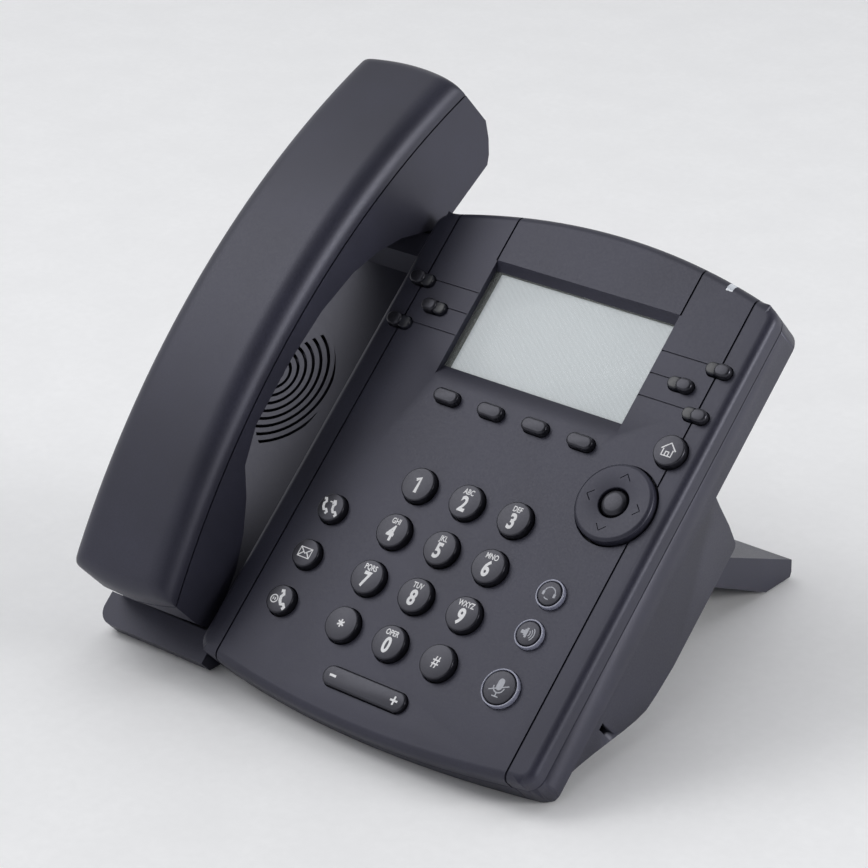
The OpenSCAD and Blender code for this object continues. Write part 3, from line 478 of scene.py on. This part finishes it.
def round_key(node, legend=None, material=ink_white, dome=CAD_DOME, over=FLANGE_OVER,
              flange_top=FLANGE_TOP, soften=0.55):
    """A round key over its CAD node. legend(x, y, top) returns the meshes printed on it."""
    low, high = face_box(node)
    x = (low.x + high.x) / 2
    y = (low.y + high.y) / 2
    radius = (high.x - low.x) / 2 - over
    top = high.z - dome
    bm = turned(key_profile(radius, top, low.z, flange_top, over), x, y,
                [(radius, top)], soften)
    for mesh in (legend(x, y, top + FILM / 2) if legend else []):
        join(bm, mesh, 1)
    return piece(node + "_cap", bm, [abs_keys, material], node)


def dial_legend(digit, above=""):
    """A digit with its small letters above, as on a telephone dial."""
    def draw(x, y, z):
        if not above:
            return [letters(digit, 5.6, x, y - 0.1, z, 0.8, 0.01)]
        return [letters(digit, 7.4, x, y - 1.3, z, 0.78, 0.035),
                letters(above, 2.7, x, y + 3.2, z, 0.78, 0.024)]
    return draw


DIAL = {"1": "", "2": "ABC", "3": "DEF", "4": "GHI", "5": "JKL", "6": "MNO",
        "7": "PQRS", "8": "TUV", "9": "WXYZ", "0": "OPER"}


def one_legend(x, y, z):
    return [strokes([[(-1.1, 1.5), (0.4, 2.4), (0.4, -2.9)]], 1.25, x, y - 0.2, z)]


for digit, above in DIAL.items():
    round_key("key_" + digit, dial_legend(digit, above) if above else one_legend)
round_key("key_hash", dial_legend("#"))
print("dial keys", len(DIAL) + 1)

# %% [markdown]
# The star is drawn as strokes, because a font sets it high and small. The same goes for
# the icons on the function keys, which use the plain symbols that any phone has.

# %% Star key and function keys
HANDSET = [(-1.5, 1.7), (-0.9, 1.9), (-0.5, 1.1), (-0.9, 0.5), (-0.7, -0.4), (-0.1, -1.2),
           (0.6, -1.0), (1.2, -1.6), (0.8, -2.2)]


def shifted(line, dx, dy, scale=1.0, flip=1):
    return [(dx + flip * scale * px, dy + scale * py) for px, py in line]


def star_legend(x, y, z):
    rays = [arc(0, 0, 1.4, a, a + 180, 1) for a in (30, 90, 150)]
    return [strokes(rays, 0.6, x, y, z)]


def transfer_legend(x, y, z):
    lines = [shifted(HANDSET, -1.9, 0, 1.25), shifted(HANDSET, 2.0, 0, 1.25)]
    arrow = [[(-1.1, 1.8), (0.7, 1.8)], [(0.1, 2.5), (0.9, 1.8), (0.1, 1.1)]]
    return [strokes(lines, 1.0, x, y, z), strokes(arrow, 0.45, x, y, z)]


def envelope_legend(x, y, z):
    frame_line = [(-2.4, -1.7), (2.4, -1.7), (2.4, 1.7), (-2.4, 1.7), (-2.4, -1.7)]
    flap = [[(-2.4, 1.7), (0, -0.3), (2.4, 1.7)], [(-2.4, -1.7), (-0.6, 0.2)],
            [(2.4, -1.7), (0.6, 0.2)]]
    return [strokes([frame_line] + flap, 0.46, x, y, z)]


def hold_legend(x, y, z):
    pause = [ring(-1.9, -0.6, 1.35), [(-2.3, -0.1), (-2.3, -1.1)], [(-1.5, -0.1), (-1.5, -1.1)]]
    return [strokes(pause, 0.42, x, y, z),
            strokes([shifted(HANDSET, 1.6, 0.1, 1.5)], 1.2, x, y, z)]


def home_legend(x, y, z):
    house = [[(-2.7, 0.0), (0, 2.5), (2.7, 0.0)],
             [(-1.8, 0.2), (-1.8, -2.2), (1.8, -2.2), (1.8, 0.2)],
             [(-0.6, -2.2), (-0.6, -0.7), (0.6, -0.7), (0.6, -2.2)]]
    return [strokes(house, 0.48, x, y, z)]


round_key("key_star", star_legend)
round_key("key_transfer", transfer_legend)
round_key("key_messages", envelope_legend)
round_key("key_hold", hold_legend)
round_key("key_home", home_legend)
print("function keys done")

# %% [markdown]
# ## Audio keys and their light rings
# Headset, speaker and mute each have a dark cap inside a clear ring that lights up. The
# ring stands almost as high as the cap, so its outer wall shows beside it.

# %% Audio caps and rings
AUDIO_OVER = 0.3
AUDIO_DOME = 0.15


def headset_legend(x, y, z):
    band = [arc(0, 0, 2.1, -30, 210, 14), arc(0, 0, 2.1, 235, 285, 4)]
    cups = [[(-2.1, 0.3), (-2.1, -1.0)], [(2.1, 0.3), (2.1, -1.0)]]
    return [strokes(band, 0.36, x, y, z), strokes(cups, 0.9, x, y, z)]


def speaker_legend(x, y, z):
    horn = [[(-2.3, 0.6), (-2.3, -0.6)], [(-1.7, 0.6), (-1.7, -0.6)],
            [(-1.1, 1.1), (-1.1, -1.1)], [(-0.6, 1.7), (-0.6, -1.7)]]
    waves = [arc(-0.6, 0, r, -45, 45, 6) for r in (1.3, 2.1, 2.9)]
    return [strokes(horn, 0.8, x, y, z), strokes(waves, 0.34, x, y, z)]


def mute_legend(x, y, z):
    outline = arc(0, 1.9, 0.9, 0, 180, 8) + arc(0, 0.1, 0.9, 180, 360, 8)
    outline.append(outline[0])
    stand = [arc(0, 0.1, 2.0, 180, 360, 10), [(0, -1.9), (0, -3.2)], [(-1.2, -3.2), (1.2, -3.2)],
             [(-3.3, -1.7), (3.3, 1.3)]]
    return [strokes([outline], 0.5, x, y, z), strokes([[(0, 2.6), (0, -0.6)]], 1.5, x, y, z),
            strokes(stand, 0.4, x, y, z)]


ring_low, ring_high = face_box("audio_light_rings")
RING_GAP = 0.3
RING_WIDTH = 0.6
RING_FLANGE = 0.8
rings = bmesh.new()
for node, legend in (("key_headset", headset_legend), ("key_speaker", speaker_legend),
                     ("key_mute", mute_legend)):
    low, high = face_box(node)
    round_key(node, legend, ink_grey, AUDIO_DOME, AUDIO_OVER, ring_low.z - 0.2, 0.3)
    x = (low.x + high.x) / 2
    y = (low.y + high.y) / 2
    inner = (high.x - low.x) / 2 - AUDIO_OVER + RING_GAP
    outer = inner + RING_WIDTH
    top = high.z - AUDIO_DOME - 0.2
    profile = [(inner, ring_low.z), (outer + RING_FLANGE, ring_low.z),
               (outer + RING_FLANGE, -2.5), (outer, -2.5), (outer, top), (inner, top),
               (inner, ring_low.z)]
    join(rings, turned(profile, x, y, [(outer, top), (inner, top)], 0.25))
piece("light_rings", rings, [smoky_polycarbonate], "audio_light_rings")
print("rings from", round(ring_low.z, 2), "to", round(ring_high.z, 2))

# %% [markdown]
# ## Soft keys and line keys
# The soft keys under the display are plain pills. A line key is a pill too, but the half
# beside the display is a tinted lens with a lamp under it, and sits lower than the knob.

# %% Pill keys
PILL_OVER = 0.8
STEM_STEPS = [(0, -5.9), (STEM_R, -5.9), (STEM_R, -3.5), (0, -3.5)]


def pill_base(node):
    """Middle, length, width and top of a pill key, with its flange and stem made."""
    low, high = face_box(node)
    x = (low.x + high.x) / 2
    y = (low.y + high.y) / 2
    length = high.x - low.x - 2 * PILL_OVER
    width = high.y - low.y - 2 * PILL_OVER
    bm = pill(high.x - low.x, high.y - low.y, FLANGE_TOP - FLANGE_T, FLANGE_TOP, x, y, 0)
    join(bm, turned(STEM_STEPS, x, y))
    return bm, x, y, length, width, high.z


for number in range(1, 5):
    node = f"softkey_{number}"
    bm, x, y, length, width, top = pill_base(node)
    join(bm, pill(length, width, FLANGE_TOP, top, x, y, 0.9))
    piece(node + "_cap", bm, [abs_keys], node)

LENS_SHARE = 0.46
for number in range(1, 7):
    node = f"line_key_{number}"
    bm, x, y, length, width, top = pill_base(node)
    side = 1 if number < 4 else -1
    lens_l = length * LENS_SHARE + 0.8
    knob_l = length * (1 - LENS_SHARE) + 0.8
    knob_x = x - side * (length - knob_l) / 2
    lens_x = x + side * (length - lens_l) / 2
    join(bm, pill(knob_l, width, FLANGE_TOP, top, knob_x, y, 0.9))
    join(bm, pill(lens_l, width - 0.3, FLANGE_TOP, top - 0.9, lens_x, y, 0.6), 1)
    piece(node + "_cap", bm, [abs_keys, lens_polycarbonate], node)
print("pill keys done")

# %% [markdown]
# ## Navigation ring, select key and volume rocker
# The ring is turned, with a top that dishes towards the select key. Its four arrows are
# engraved: the same strokes that print an icon are used here as cutters.

# %% Navigation cluster
nav_low, nav_high = face_box("nav_ring")
nav_x = (nav_low.x + nav_high.x) / 2
nav_y = (nav_low.y + nav_high.y) / 2
nav_r = (nav_high.x - nav_low.x) / 2
NAV_HOLE = 5.3
nav_profile = [(NAV_HOLE, -2.5), (nav_r, -2.5), (nav_r, nav_high.z - 0.7),
               (nav_r - 1.0, nav_high.z), (NAV_HOLE, nav_high.z - 0.5), (NAV_HOLE, -2.5)]
ring_bm = turned(nav_profile, nav_x, nav_y,
                 [(nav_r, nav_high.z - 0.7), (nav_r - 1.0, nav_high.z),
                  (NAV_HOLE, nav_high.z - 0.5)], 0.35)
LUG_W = 3.4
LUG_T = 2.0
LUG_R = 11.0
for side in (-1, 1):
    lug = bmesh.new()
    bmesh.ops.create_cube(lug, size=1)
    bmesh.ops.scale(lug, vec=(LUG_W, LUG_T, 2.9), verts=lug.verts)
    bmesh.ops.bevel(lug, geom=lug.edges[:], offset=0.2, segments=2, profile=0.5,
                    affect="EDGES", material=-1)
    bmesh.ops.translate(lug, verts=lug.verts, vec=(nav_x, nav_y + side * LUG_R, -3.95))
    join(ring_bm, lug)
nav_ring = to_object("navigation_ring", ring_bm)
CHEVRON = [(-1.9, -1.4), (0, 0.6), (1.9, -1.4)]
arrows = bmesh.new()
for quarter in range(4):
    mesh = strokes([CHEVRON], 0.42, 0, 9.7, nav_high.z - 0.1, 0.9)
    mesh.transform(Matrix.Translation((nav_x, nav_y, 0)) @
                   Matrix.Rotation(quarter * math.pi / 2, 4, "Z"))
    join(arrows, mesh)
cut(nav_ring, [to_object("arrow_cutters", arrows)])
settle(nav_ring, [abs_casing], "nav_ring")
round_key("key_select", dome=0.1, over=1.1, flange_top=-3.1, soften=1.8)
print("navigation ring radius", round(nav_r, 2))

# %% Volume rocker
low, high = face_box("volume_rocker")
ROCKER_L = high.x - low.x
ROCKER_W = 7.0
rocker_x = (low.x + high.x) / 2
rocker_y = (low.y + high.y) / 2
rocker = pill(ROCKER_L, ROCKER_W, -3, high.z, rocker_x, rocker_y, 0.7)
pin = bmesh.new()
bmesh.ops.create_cone(pin, cap_ends=True, segments=32, radius1=0.7, radius2=0.7,
                      depth=high.y - low.y, matrix=Matrix.Rotation(math.pi / 2, 4, "X"))
bmesh.ops.translate(pin, verts=pin.verts, vec=(rocker_x, rocker_y, -4))
join(rocker, pin)
SIGN_X = ROCKER_L / 2 - 4.2
top = high.z + FILM / 2
minus = [(-1.3, 0), (1.3, 0)]
plus = [[(-1.5, 0), (1.5, 0)], [(0, -1.5), (0, 1.5)]]
join(rocker, strokes([minus], 0.8, rocker_x - SIGN_X, rocker_y, top), 1)
join(rocker, strokes(plus, 0.7, rocker_x + SIGN_X, rocker_y, top), 1)
piece("volume_rocker_cap", rocker, [abs_keys, ink_white], "volume_rocker")
print("rocker", round(ROCKER_L, 1), "mm long")

# %% [markdown]
# ## Face cover
# One thin moulding carries everything on the face. It starts as a flat grid whose top and
# bottom edges are bent to the cover's shallow arcs, is pulled back to its depth, and gets
# its soft edge from one bevel. Holes and grooves are then cut out of it, as a tool would
# leave them, because that keeps their rims crisp.

# %% Cover blank
SIDE_H = 172.0
EDGE_R = 3.0
WALL = 2.5
half_w = cover_high.x
half_h = SIDE_H / 2
top_rise = cover_high.y - half_h
bottom_drop = -cover_low.y - half_h


def edge_y(x, end):
    """Height of the cover's top (1) or bottom (-1) edge at x."""
    bow = top_rise if end > 0 else bottom_drop
    return end * (half_h + bow * (1 - (x / half_w) ** 2))


def plate(inset, low, high, corner):
    """A plate with the cover's outline, drawn in by an inset."""
    bm = bmesh.new()
    bmesh.ops.create_grid(bm, x_segments=36, y_segments=1, size=1)
    for v in bm.verts:
        x = v.co.x * (half_w - inset)
        end = 1 if v.co.y > 0 else -1
        v.co = (x, edge_y(x, end) - end * inset, low)
    bmesh.ops.dissolve_faces(bm, faces=bm.faces[:])
    made = bmesh.ops.extrude_face_region(bm, geom=bm.faces[:])["geom"]
    raised = [g for g in made if isinstance(g, bmesh.types.BMVert)]
    bmesh.ops.translate(bm, verts=raised, vec=(0, 0, high - low))
    bmesh.ops.recalc_face_normals(bm, faces=bm.faces)
    if corner:
        posts = [e for e in bm.edges if abs(e.verts[0].co.z - e.verts[1].co.z) > 1e-3 and
                 abs(abs(e.verts[0].co.x) - half_w + inset) < 1e-3]
        bmesh.ops.bevel(bm, geom=posts, offset=corner, segments=6, profile=0.5,
                        affect="EDGES", material=-1)
    return bm


def top_edges(bm, level):
    return [e for e in bm.edges if all(abs(v.co.z - level) < 1e-4 for v in e.verts)]


CORNER_R = 4.5
SEAM = 0.45


def cover_blank():
    """The cover's outside: a plate with a round front edge, and a seam at its back."""
    bm = plate(0, cover_low.z, 0, CORNER_R)
    bmesh.ops.bevel(bm, geom=top_edges(bm, 0), offset=EDGE_R, segments=8, profile=0.5,
                    affect="EDGES", material=-1)
    bmesh.ops.bevel(bm, geom=top_edges(bm, cover_low.z), offset=SEAM, segments=1,
                    profile=0.5, affect="EDGES", material=-1)
    return bm


cover = to_object("face_cover_moulding", cover_blank())
print("cover rises", round(top_rise, 1), "and drops", round(bottom_drop, 1))

# %% [markdown]
# Each opening is a cutter a little larger than its key. The grooves follow the edge over
# the front, so their cutters are ribbons that run just under the surface: a line bent over
# the edge, widened, and given a thickness outwards.

# %% Cutters for keys, display and grooves
KEY_GAP = 0.3
NAV_GAP = 0.6


def cutter_box(low, high):
    bm = bmesh.new()
    bmesh.ops.create_cube(bm, size=1)
    size = Vector(high) - Vector(low)
    bmesh.ops.scale(bm, vec=size, verts=bm.verts)
    bmesh.ops.translate(bm, verts=bm.verts, vec=Vector(low) + size / 2)
    return bm


def round_hole(x, y, radius):
    flare = 0.25
    return turned([(0, -4), (radius, -4), (radius, -flare), (radius + flare, 0.03),
                   (radius + flare, 1), (0, 1)], x, y)


holes = bmesh.new()
for node, body in body_of.items():
    if node == body and node.startswith("key_") and node != "key_select":
        low, high = face_box(node)
        x = (low.x + high.x) / 2
        y = (low.y + high.y) / 2
        audio = node in ("key_headset", "key_speaker", "key_mute")
        over = AUDIO_OVER - RING_GAP - RING_WIDTH if audio else FLANGE_OVER
        gap = 0.02 if audio else KEY_GAP
        join(holes, round_hole(x, y, (high.x - low.x) / 2 - over + gap))
join(holes, round_hole(nav_x, nav_y, nav_r + NAV_GAP))
for node in [f"softkey_{n}" for n in range(1, 5)] + [f"line_key_{n}" for n in range(1, 7)]:
    low, high = face_box(node)
    size = high - low
    join(holes, pill(size.x - 2 * PILL_OVER + 2 * KEY_GAP, size.y - 2 * PILL_OVER + 2 * KEY_GAP,
                     -4, 1, (low.x + high.x) / 2, (low.y + high.y) / 2, 0))
join(holes, pill(ROCKER_L + 2 * KEY_GAP, ROCKER_W + 2 * KEY_GAP, -4, 1, rocker_x, rocker_y, 0))

pane_low, pane_high = face_box("display_window")
LEDGE = 2.0
DISPLAY = (pane_low.x + LEDGE, pane_low.y + LEDGE, pane_high.x - LEDGE, pane_high.y - LEDGE)
recess = bmesh.new()
slope = [(DISPLAY[1], -4), (DISPLAY[3], -4), (DISPLAY[3], -WALL), (DISPLAY[3] + 1.0, -1.9),
         (DISPLAY[3] + 2.2, -0.7), (DISPLAY[3] + 3.0, 0), (DISPLAY[3] + 3.0, 1),
         (DISPLAY[1] - 4.4, 1), (DISPLAY[1] - 4.4, 0), (DISPLAY[1], -WALL)]
side = [recess.verts.new((DISPLAY[0] - 1.7, y, z)) for y, z in slope]
recess.faces.new(side)
made = bmesh.ops.extrude_face_region(recess, geom=recess.faces[:])["geom"]
bmesh.ops.translate(recess, vec=(DISPLAY[2] - DISPLAY[0] + 3.4, 0, 0),
                    verts=[g for g in made if isinstance(g, bmesh.types.BMVert)])
bmesh.ops.recalc_face_normals(recess, faces=recess.faces)


def groove(x, width, depth, start):
    """A ribbon cutter at x from the height start over the top edge, or over both edges."""
    low_w = cover_low.z + 0.6
    bend = EDGE_R - depth
    path = [(edge_y(x, 1) - depth, low_w)]
    centre = (edge_y(x, 1) - EDGE_R, -EDGE_R)
    path += arc(*centre, bend, 0, 90, 6)
    if start is None:
        path += arc(edge_y(x, -1) + EDGE_R, -EDGE_R, bend, 90, 180, 6)
        path += [(edge_y(x, -1) + depth, low_w)]
    else:
        path += [(start, -depth)]
    bm = bmesh.new()
    verts = [bm.verts.new((x - width / 2, y, z)) for y, z in path]
    edges = [bm.edges.new(pair) for pair in zip(verts, verts[1:])]
    made = bmesh.ops.extrude_edge_only(bm, edges=edges)["geom"]
    bmesh.ops.translate(bm, vec=(width, 0, 0),
                        verts=[g for g in made if isinstance(g, bmesh.types.BMVert)])
    outward = 2.0
    bmesh.ops.recalc_face_normals(bm, faces=bm.faces)
    bm.normal_update()
    top = max(bm.faces, key=lambda f: f.calc_area())
    sign = -1 if top.normal.z > 0 else 1
    bmesh.ops.solidify(bm, geom=bm.faces[:], thickness=sign * outward)
    bmesh.ops.recalc_face_normals(bm, faces=bm.faces)
    return bm


GROOVE_X = half_w - 9.3
PANEL_X = DISPLAY[2] + 1.9
cutters = [to_object("key_openings", holes), to_object("display_recess", recess)]
for x, start in ((-GROOVE_X, None), (GROOVE_X, None), (-PANEL_X, DISPLAY[3] + 2.8),
                 (PANEL_X, DISPLAY[3] + 2.8)):
    cutters.append(to_object("groove", groove(x, 0.7, 0.7, start)))
for number in range(1, 7):
    low, high = face_box(f"line_key_{number}")
    y = (low.y + high.y) / 2 + 1.2
    reach = (DISPLAY[0] - 1.9, high.x - 1.5) if number < 4 else (DISPLAY[2] + 1.9, low.x + 1.5)
    cutters.append(to_object("line", cutter_box((min(reach), y - 0.25, -0.45),
                                                (max(reach), y + 0.25, 1))))
lamp_low, lamp_high = face_box("message_lamp")
cutters.append(to_object("lamp_slot", cutter_box((lamp_low.x - 0.05, lamp_low.y - 0.1, -EDGE_R),
                                                 (lamp_high.x + 0.05, lamp_high.y + 20, 1))))
cutters.append(to_object("hollow", plate(WALL, cover_low.z - 1, -WALL, 0)))
cut(cover, cutters)
settle(cover, [abs_casing], "face_cover")
print("cover faces", len(cover.data.polygons))

# %% [markdown]
# ## Display and message lamp
# Behind the pane lies the display module: a dark frame, and the pale panel that shows in
# the opening. The lamp is a strip of light pipe let into the cover's top edge.

# %% Display module, pane and lamp
module_low, module_high = face_box("display_module")
module = cutter_box(module_low, module_high)
bmesh.ops.bevel(module, geom=module.edges[:], offset=0.3, segments=2, profile=0.5,
                affect="EDGES", material=-1)
panel = cutter_box((DISPLAY[0] + 0.3, DISPLAY[1] + 0.2, module_high.z),
                   (DISPLAY[2] - 0.3, DISPLAY[3] - 0.2, module_high.z + 0.08))
join(module, panel, 1)
piece("display_panel", module, [display_bezel, liquid_crystal], "display_module")
pane = cutter_box((pane_low.x, pane_low.y, pane_low.z + 0.12), pane_high)
bmesh.ops.bevel(pane, geom=pane.edges[:], offset=0.15, segments=2, profile=0.5,
                affect="EDGES", material=-1)
piece("display_pane", pane, [acrylic_pane], "display_window")

lamp = to_object("lamp_light_pipe", cover_blank())
lamp_box = cutter_box((lamp_low.x, lamp_low.y, -EDGE_R + 0.05), (lamp_high.x, lamp_high.y + 5, 1))
cut(lamp, [to_object("lamp_box", lamp_box)], "INTERSECT")
settle(lamp, [clear_polycarbonate], "message_lamp")
print("display", [round(c, 1) for c in DISPLAY])

# %% [markdown]
# ## Rear housing
# The housing's inside is full of ribs and bosses that its CAD mesh already has right. So its
# piece starts from that mesh, and only the two right-hand corners of its slab are cut round
# to follow the cover.

# %% Rear housing
SLAB_BACK = -19.0
housing_bm = bmesh.new()
housing_bm.from_mesh(frame["nodes"]["rear_housing"].data)
bmesh.ops.transform(housing_bm, matrix=TO_FACE, verts=housing_bm.verts)
for face in housing_bm.faces:
    face.material_index = 0
housing = to_object("rear_housing_moulding", housing_bm)
housing.data.materials.clear()
waste = to_object("corner_waste", cutter_box((half_w - 8, -120, SLAB_BACK), (half_w + 8, 120, 0)))
cut(waste, [to_object("slab_outline", plate(0, SLAB_BACK - 1, 1, CORNER_R))])
cut(housing, [waste])
settle(housing, [abs_casing], "rear_housing")
print("housing faces", len(housing.data.polygons))

# %% [markdown]
# ## Handset
# The handset's outer shell is one long crown: an arc along its length, with rounded long
# edges that carry the brightest highlight on the phone. A grid is laid over its outline
# and each point is lifted to the crown, less a fillet that depends on how near the edge it
# is. Its border is pulled down to the seam, then in a little so that the seam shows, and a
# Solidify modifier gives it its wall.

# %% Handset shell
shell_low, shell_high = face_box("handset_shell")
hand_x = (shell_low.x + shell_high.x) / 2
hand_half = (shell_high.x - shell_low.x) / 2
hand_y = (shell_low.y + shell_high.y) / 2
hand_end = (shell_high.y - shell_low.y) / 2
CROWN_R = 304.5
SEAM_DROP = 9.5
crown_axis = shell_high.z - CROWN_R
END_BOW = 3.0
SIDE_FILLET = 8.0
TOP_FILLET = 3.5
FOOT_FILLET = 5.0


def arc_height(radius, y):
    return crown_axis + math.sqrt(radius ** 2 - (y - hand_y) ** 2)


def fillet_drop(distance, radius):
    """How far a rounded edge has fallen at a distance in from the wall."""
    if distance >= radius:
        return 0.0
    return radius - math.sqrt(radius ** 2 - (radius - distance) ** 2)


def eased(t):
    """Spreads grid lines so that they crowd towards the edges."""
    return math.sin(t * math.pi / 2)


shell = bmesh.new()
bmesh.ops.create_grid(shell, x_segments=40, y_segments=160, size=1)
for v in shell.verts:
    across = eased(v.co.x)
    along = eased(v.co.y) if abs(v.co.y) > 0.999 else v.co.y
    along = math.copysign(1 - (1 - abs(along)) ** 1.25, along)
    bow = END_BOW * across ** 2
    x = hand_x + across * hand_half
    y = hand_y + along * (hand_end - bow)
    end_gap = (1 - abs(along)) * (hand_end - bow)
    end_fillet = TOP_FILLET if along > 0 else FOOT_FILLET
    side_drop = fillet_drop((1 - abs(across)) * hand_half, SIDE_FILLET)
    end_drop = fillet_drop(end_gap, end_fillet)
    drop = min(math.hypot(side_drop, end_drop), SEAM_DROP - 1)
    v.co = (x, y, arc_height(CROWN_R, y) - drop)
border = [e for e in shell.edges if e.is_boundary]
made = bmesh.ops.extrude_edge_only(shell, edges=border)["geom"]
HAND_SEAM = 0.6
for v in [g for g in made if isinstance(g, bmesh.types.BMVert)]:
    v.co.z = arc_height(CROWN_R - SEAM_DROP, v.co.y) + HAND_SEAM
border = [e for e in shell.edges if e.is_boundary]
made = bmesh.ops.extrude_edge_only(shell, edges=border)["geom"]
for v in [g for g in made if isinstance(g, bmesh.types.BMVert)]:
    v.co.x = hand_x + (v.co.x - hand_x) * (1 - HAND_SEAM / hand_half)
    v.co.y = hand_y + (v.co.y - hand_y) * (1 - HAND_SEAM / hand_end)
    v.co.z = arc_height(CROWN_R - SEAM_DROP, v.co.y)
crown = to_object("handset_crown", shell)
wall = crown.modifiers.new("wall", "SOLIDIFY")
wall.thickness = 2.0
wall.offset = -1
bake_modifiers(crown)
settle(crown, [abs_casing], "handset_shell")
print("crown", round(hand_half * 2, 1), "by", round(hand_end * 2, 1), "mm")

# %% [markdown]
# ## Floor and light
# A pale floor that runs out of sight, and a bright surround with a dark card at the upper
# right, so that edges on that side fall off to black. One large soft lamp at the upper left
# lays a glow over the middle of the face and throws the shadow to the right, and a low one
# on the right fills the side wall.

# %% Floor
floor_mesh = bmesh.new()
bmesh.ops.create_grid(floor_mesh, x_segments=1, y_segments=1, size=6)
mesh = bpy.data.meshes.new("floor")
floor_mesh.to_mesh(mesh)
floor_mesh.free()
floor = bpy.data.objects.new("floor", mesh)
scene.collection.objects.link(floor)
mesh.materials.append(moulded("pale_floor", "f4f4f5", "f8f8f9", 0.7, 4.0, 0.002))
floor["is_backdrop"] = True

# %% Lamps and surround
world = bpy.data.worlds.new("studio")
scene.world = world
world.use_nodes = True
tree = world.node_tree
tree.nodes.clear()
place = add(tree, "ShaderNodeTexCoord").outputs["Generated"]
facing = add(tree, "ShaderNodeVectorMath", {0: place, 1: (0.79, -0.21, 0.57)},
             operation="DOT_PRODUCT")
card = add(tree, "ShaderNodeMapRange", {"Value": facing.outputs["Value"], "From Min": 0.55,
                                        "From Max": 0.82, "To Min": 0.8, "To Max": 0.04})
backdrop = add(tree, "ShaderNodeBackground", {"Color": (0.97, 0.98, 1.0, 1.0),
                                              "Strength": card.outputs["Result"]})
add(tree, "ShaderNodeOutputWorld", {"Surface": backdrop.outputs["Background"]})
scene.view_settings.view_transform = "Standard"


def lamp_at(name, place, size, watts):
    """A square soft lamp that points at the middle of the face."""
    data = bpy.data.lights.new(name, "AREA")
    data.size = size
    data.energy = watts
    made = bpy.data.objects.new(name, data)
    scene.collection.objects.link(made)
    made.location = face_middle + Vector(place)
    made.rotation_euler = (face_middle - made.location).to_track_quat("-Z", "Y").to_euler()
    return made


lamp_at("left_softbox", (-1.0, -0.5, 1.3), 0.9, 8)
lamp_at("right_fill", (1.7, 0.6, 0.45), 0.8, 22)

# %% [markdown]
# ## Sizes
# Both boxes are printed: the CAD model's, and the finished model's. The model must stay
# inside the CAD model's box.

# %% Print both boxes
def plain(value):
    """Nested lists of plain numbers."""
    return [plain(v) for v in value] if hasattr(value, "__len__") else round(float(value), 5)


sizes = {"cad": plain(cad_bounds), "visual": plain(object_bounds())}
print(sizes)
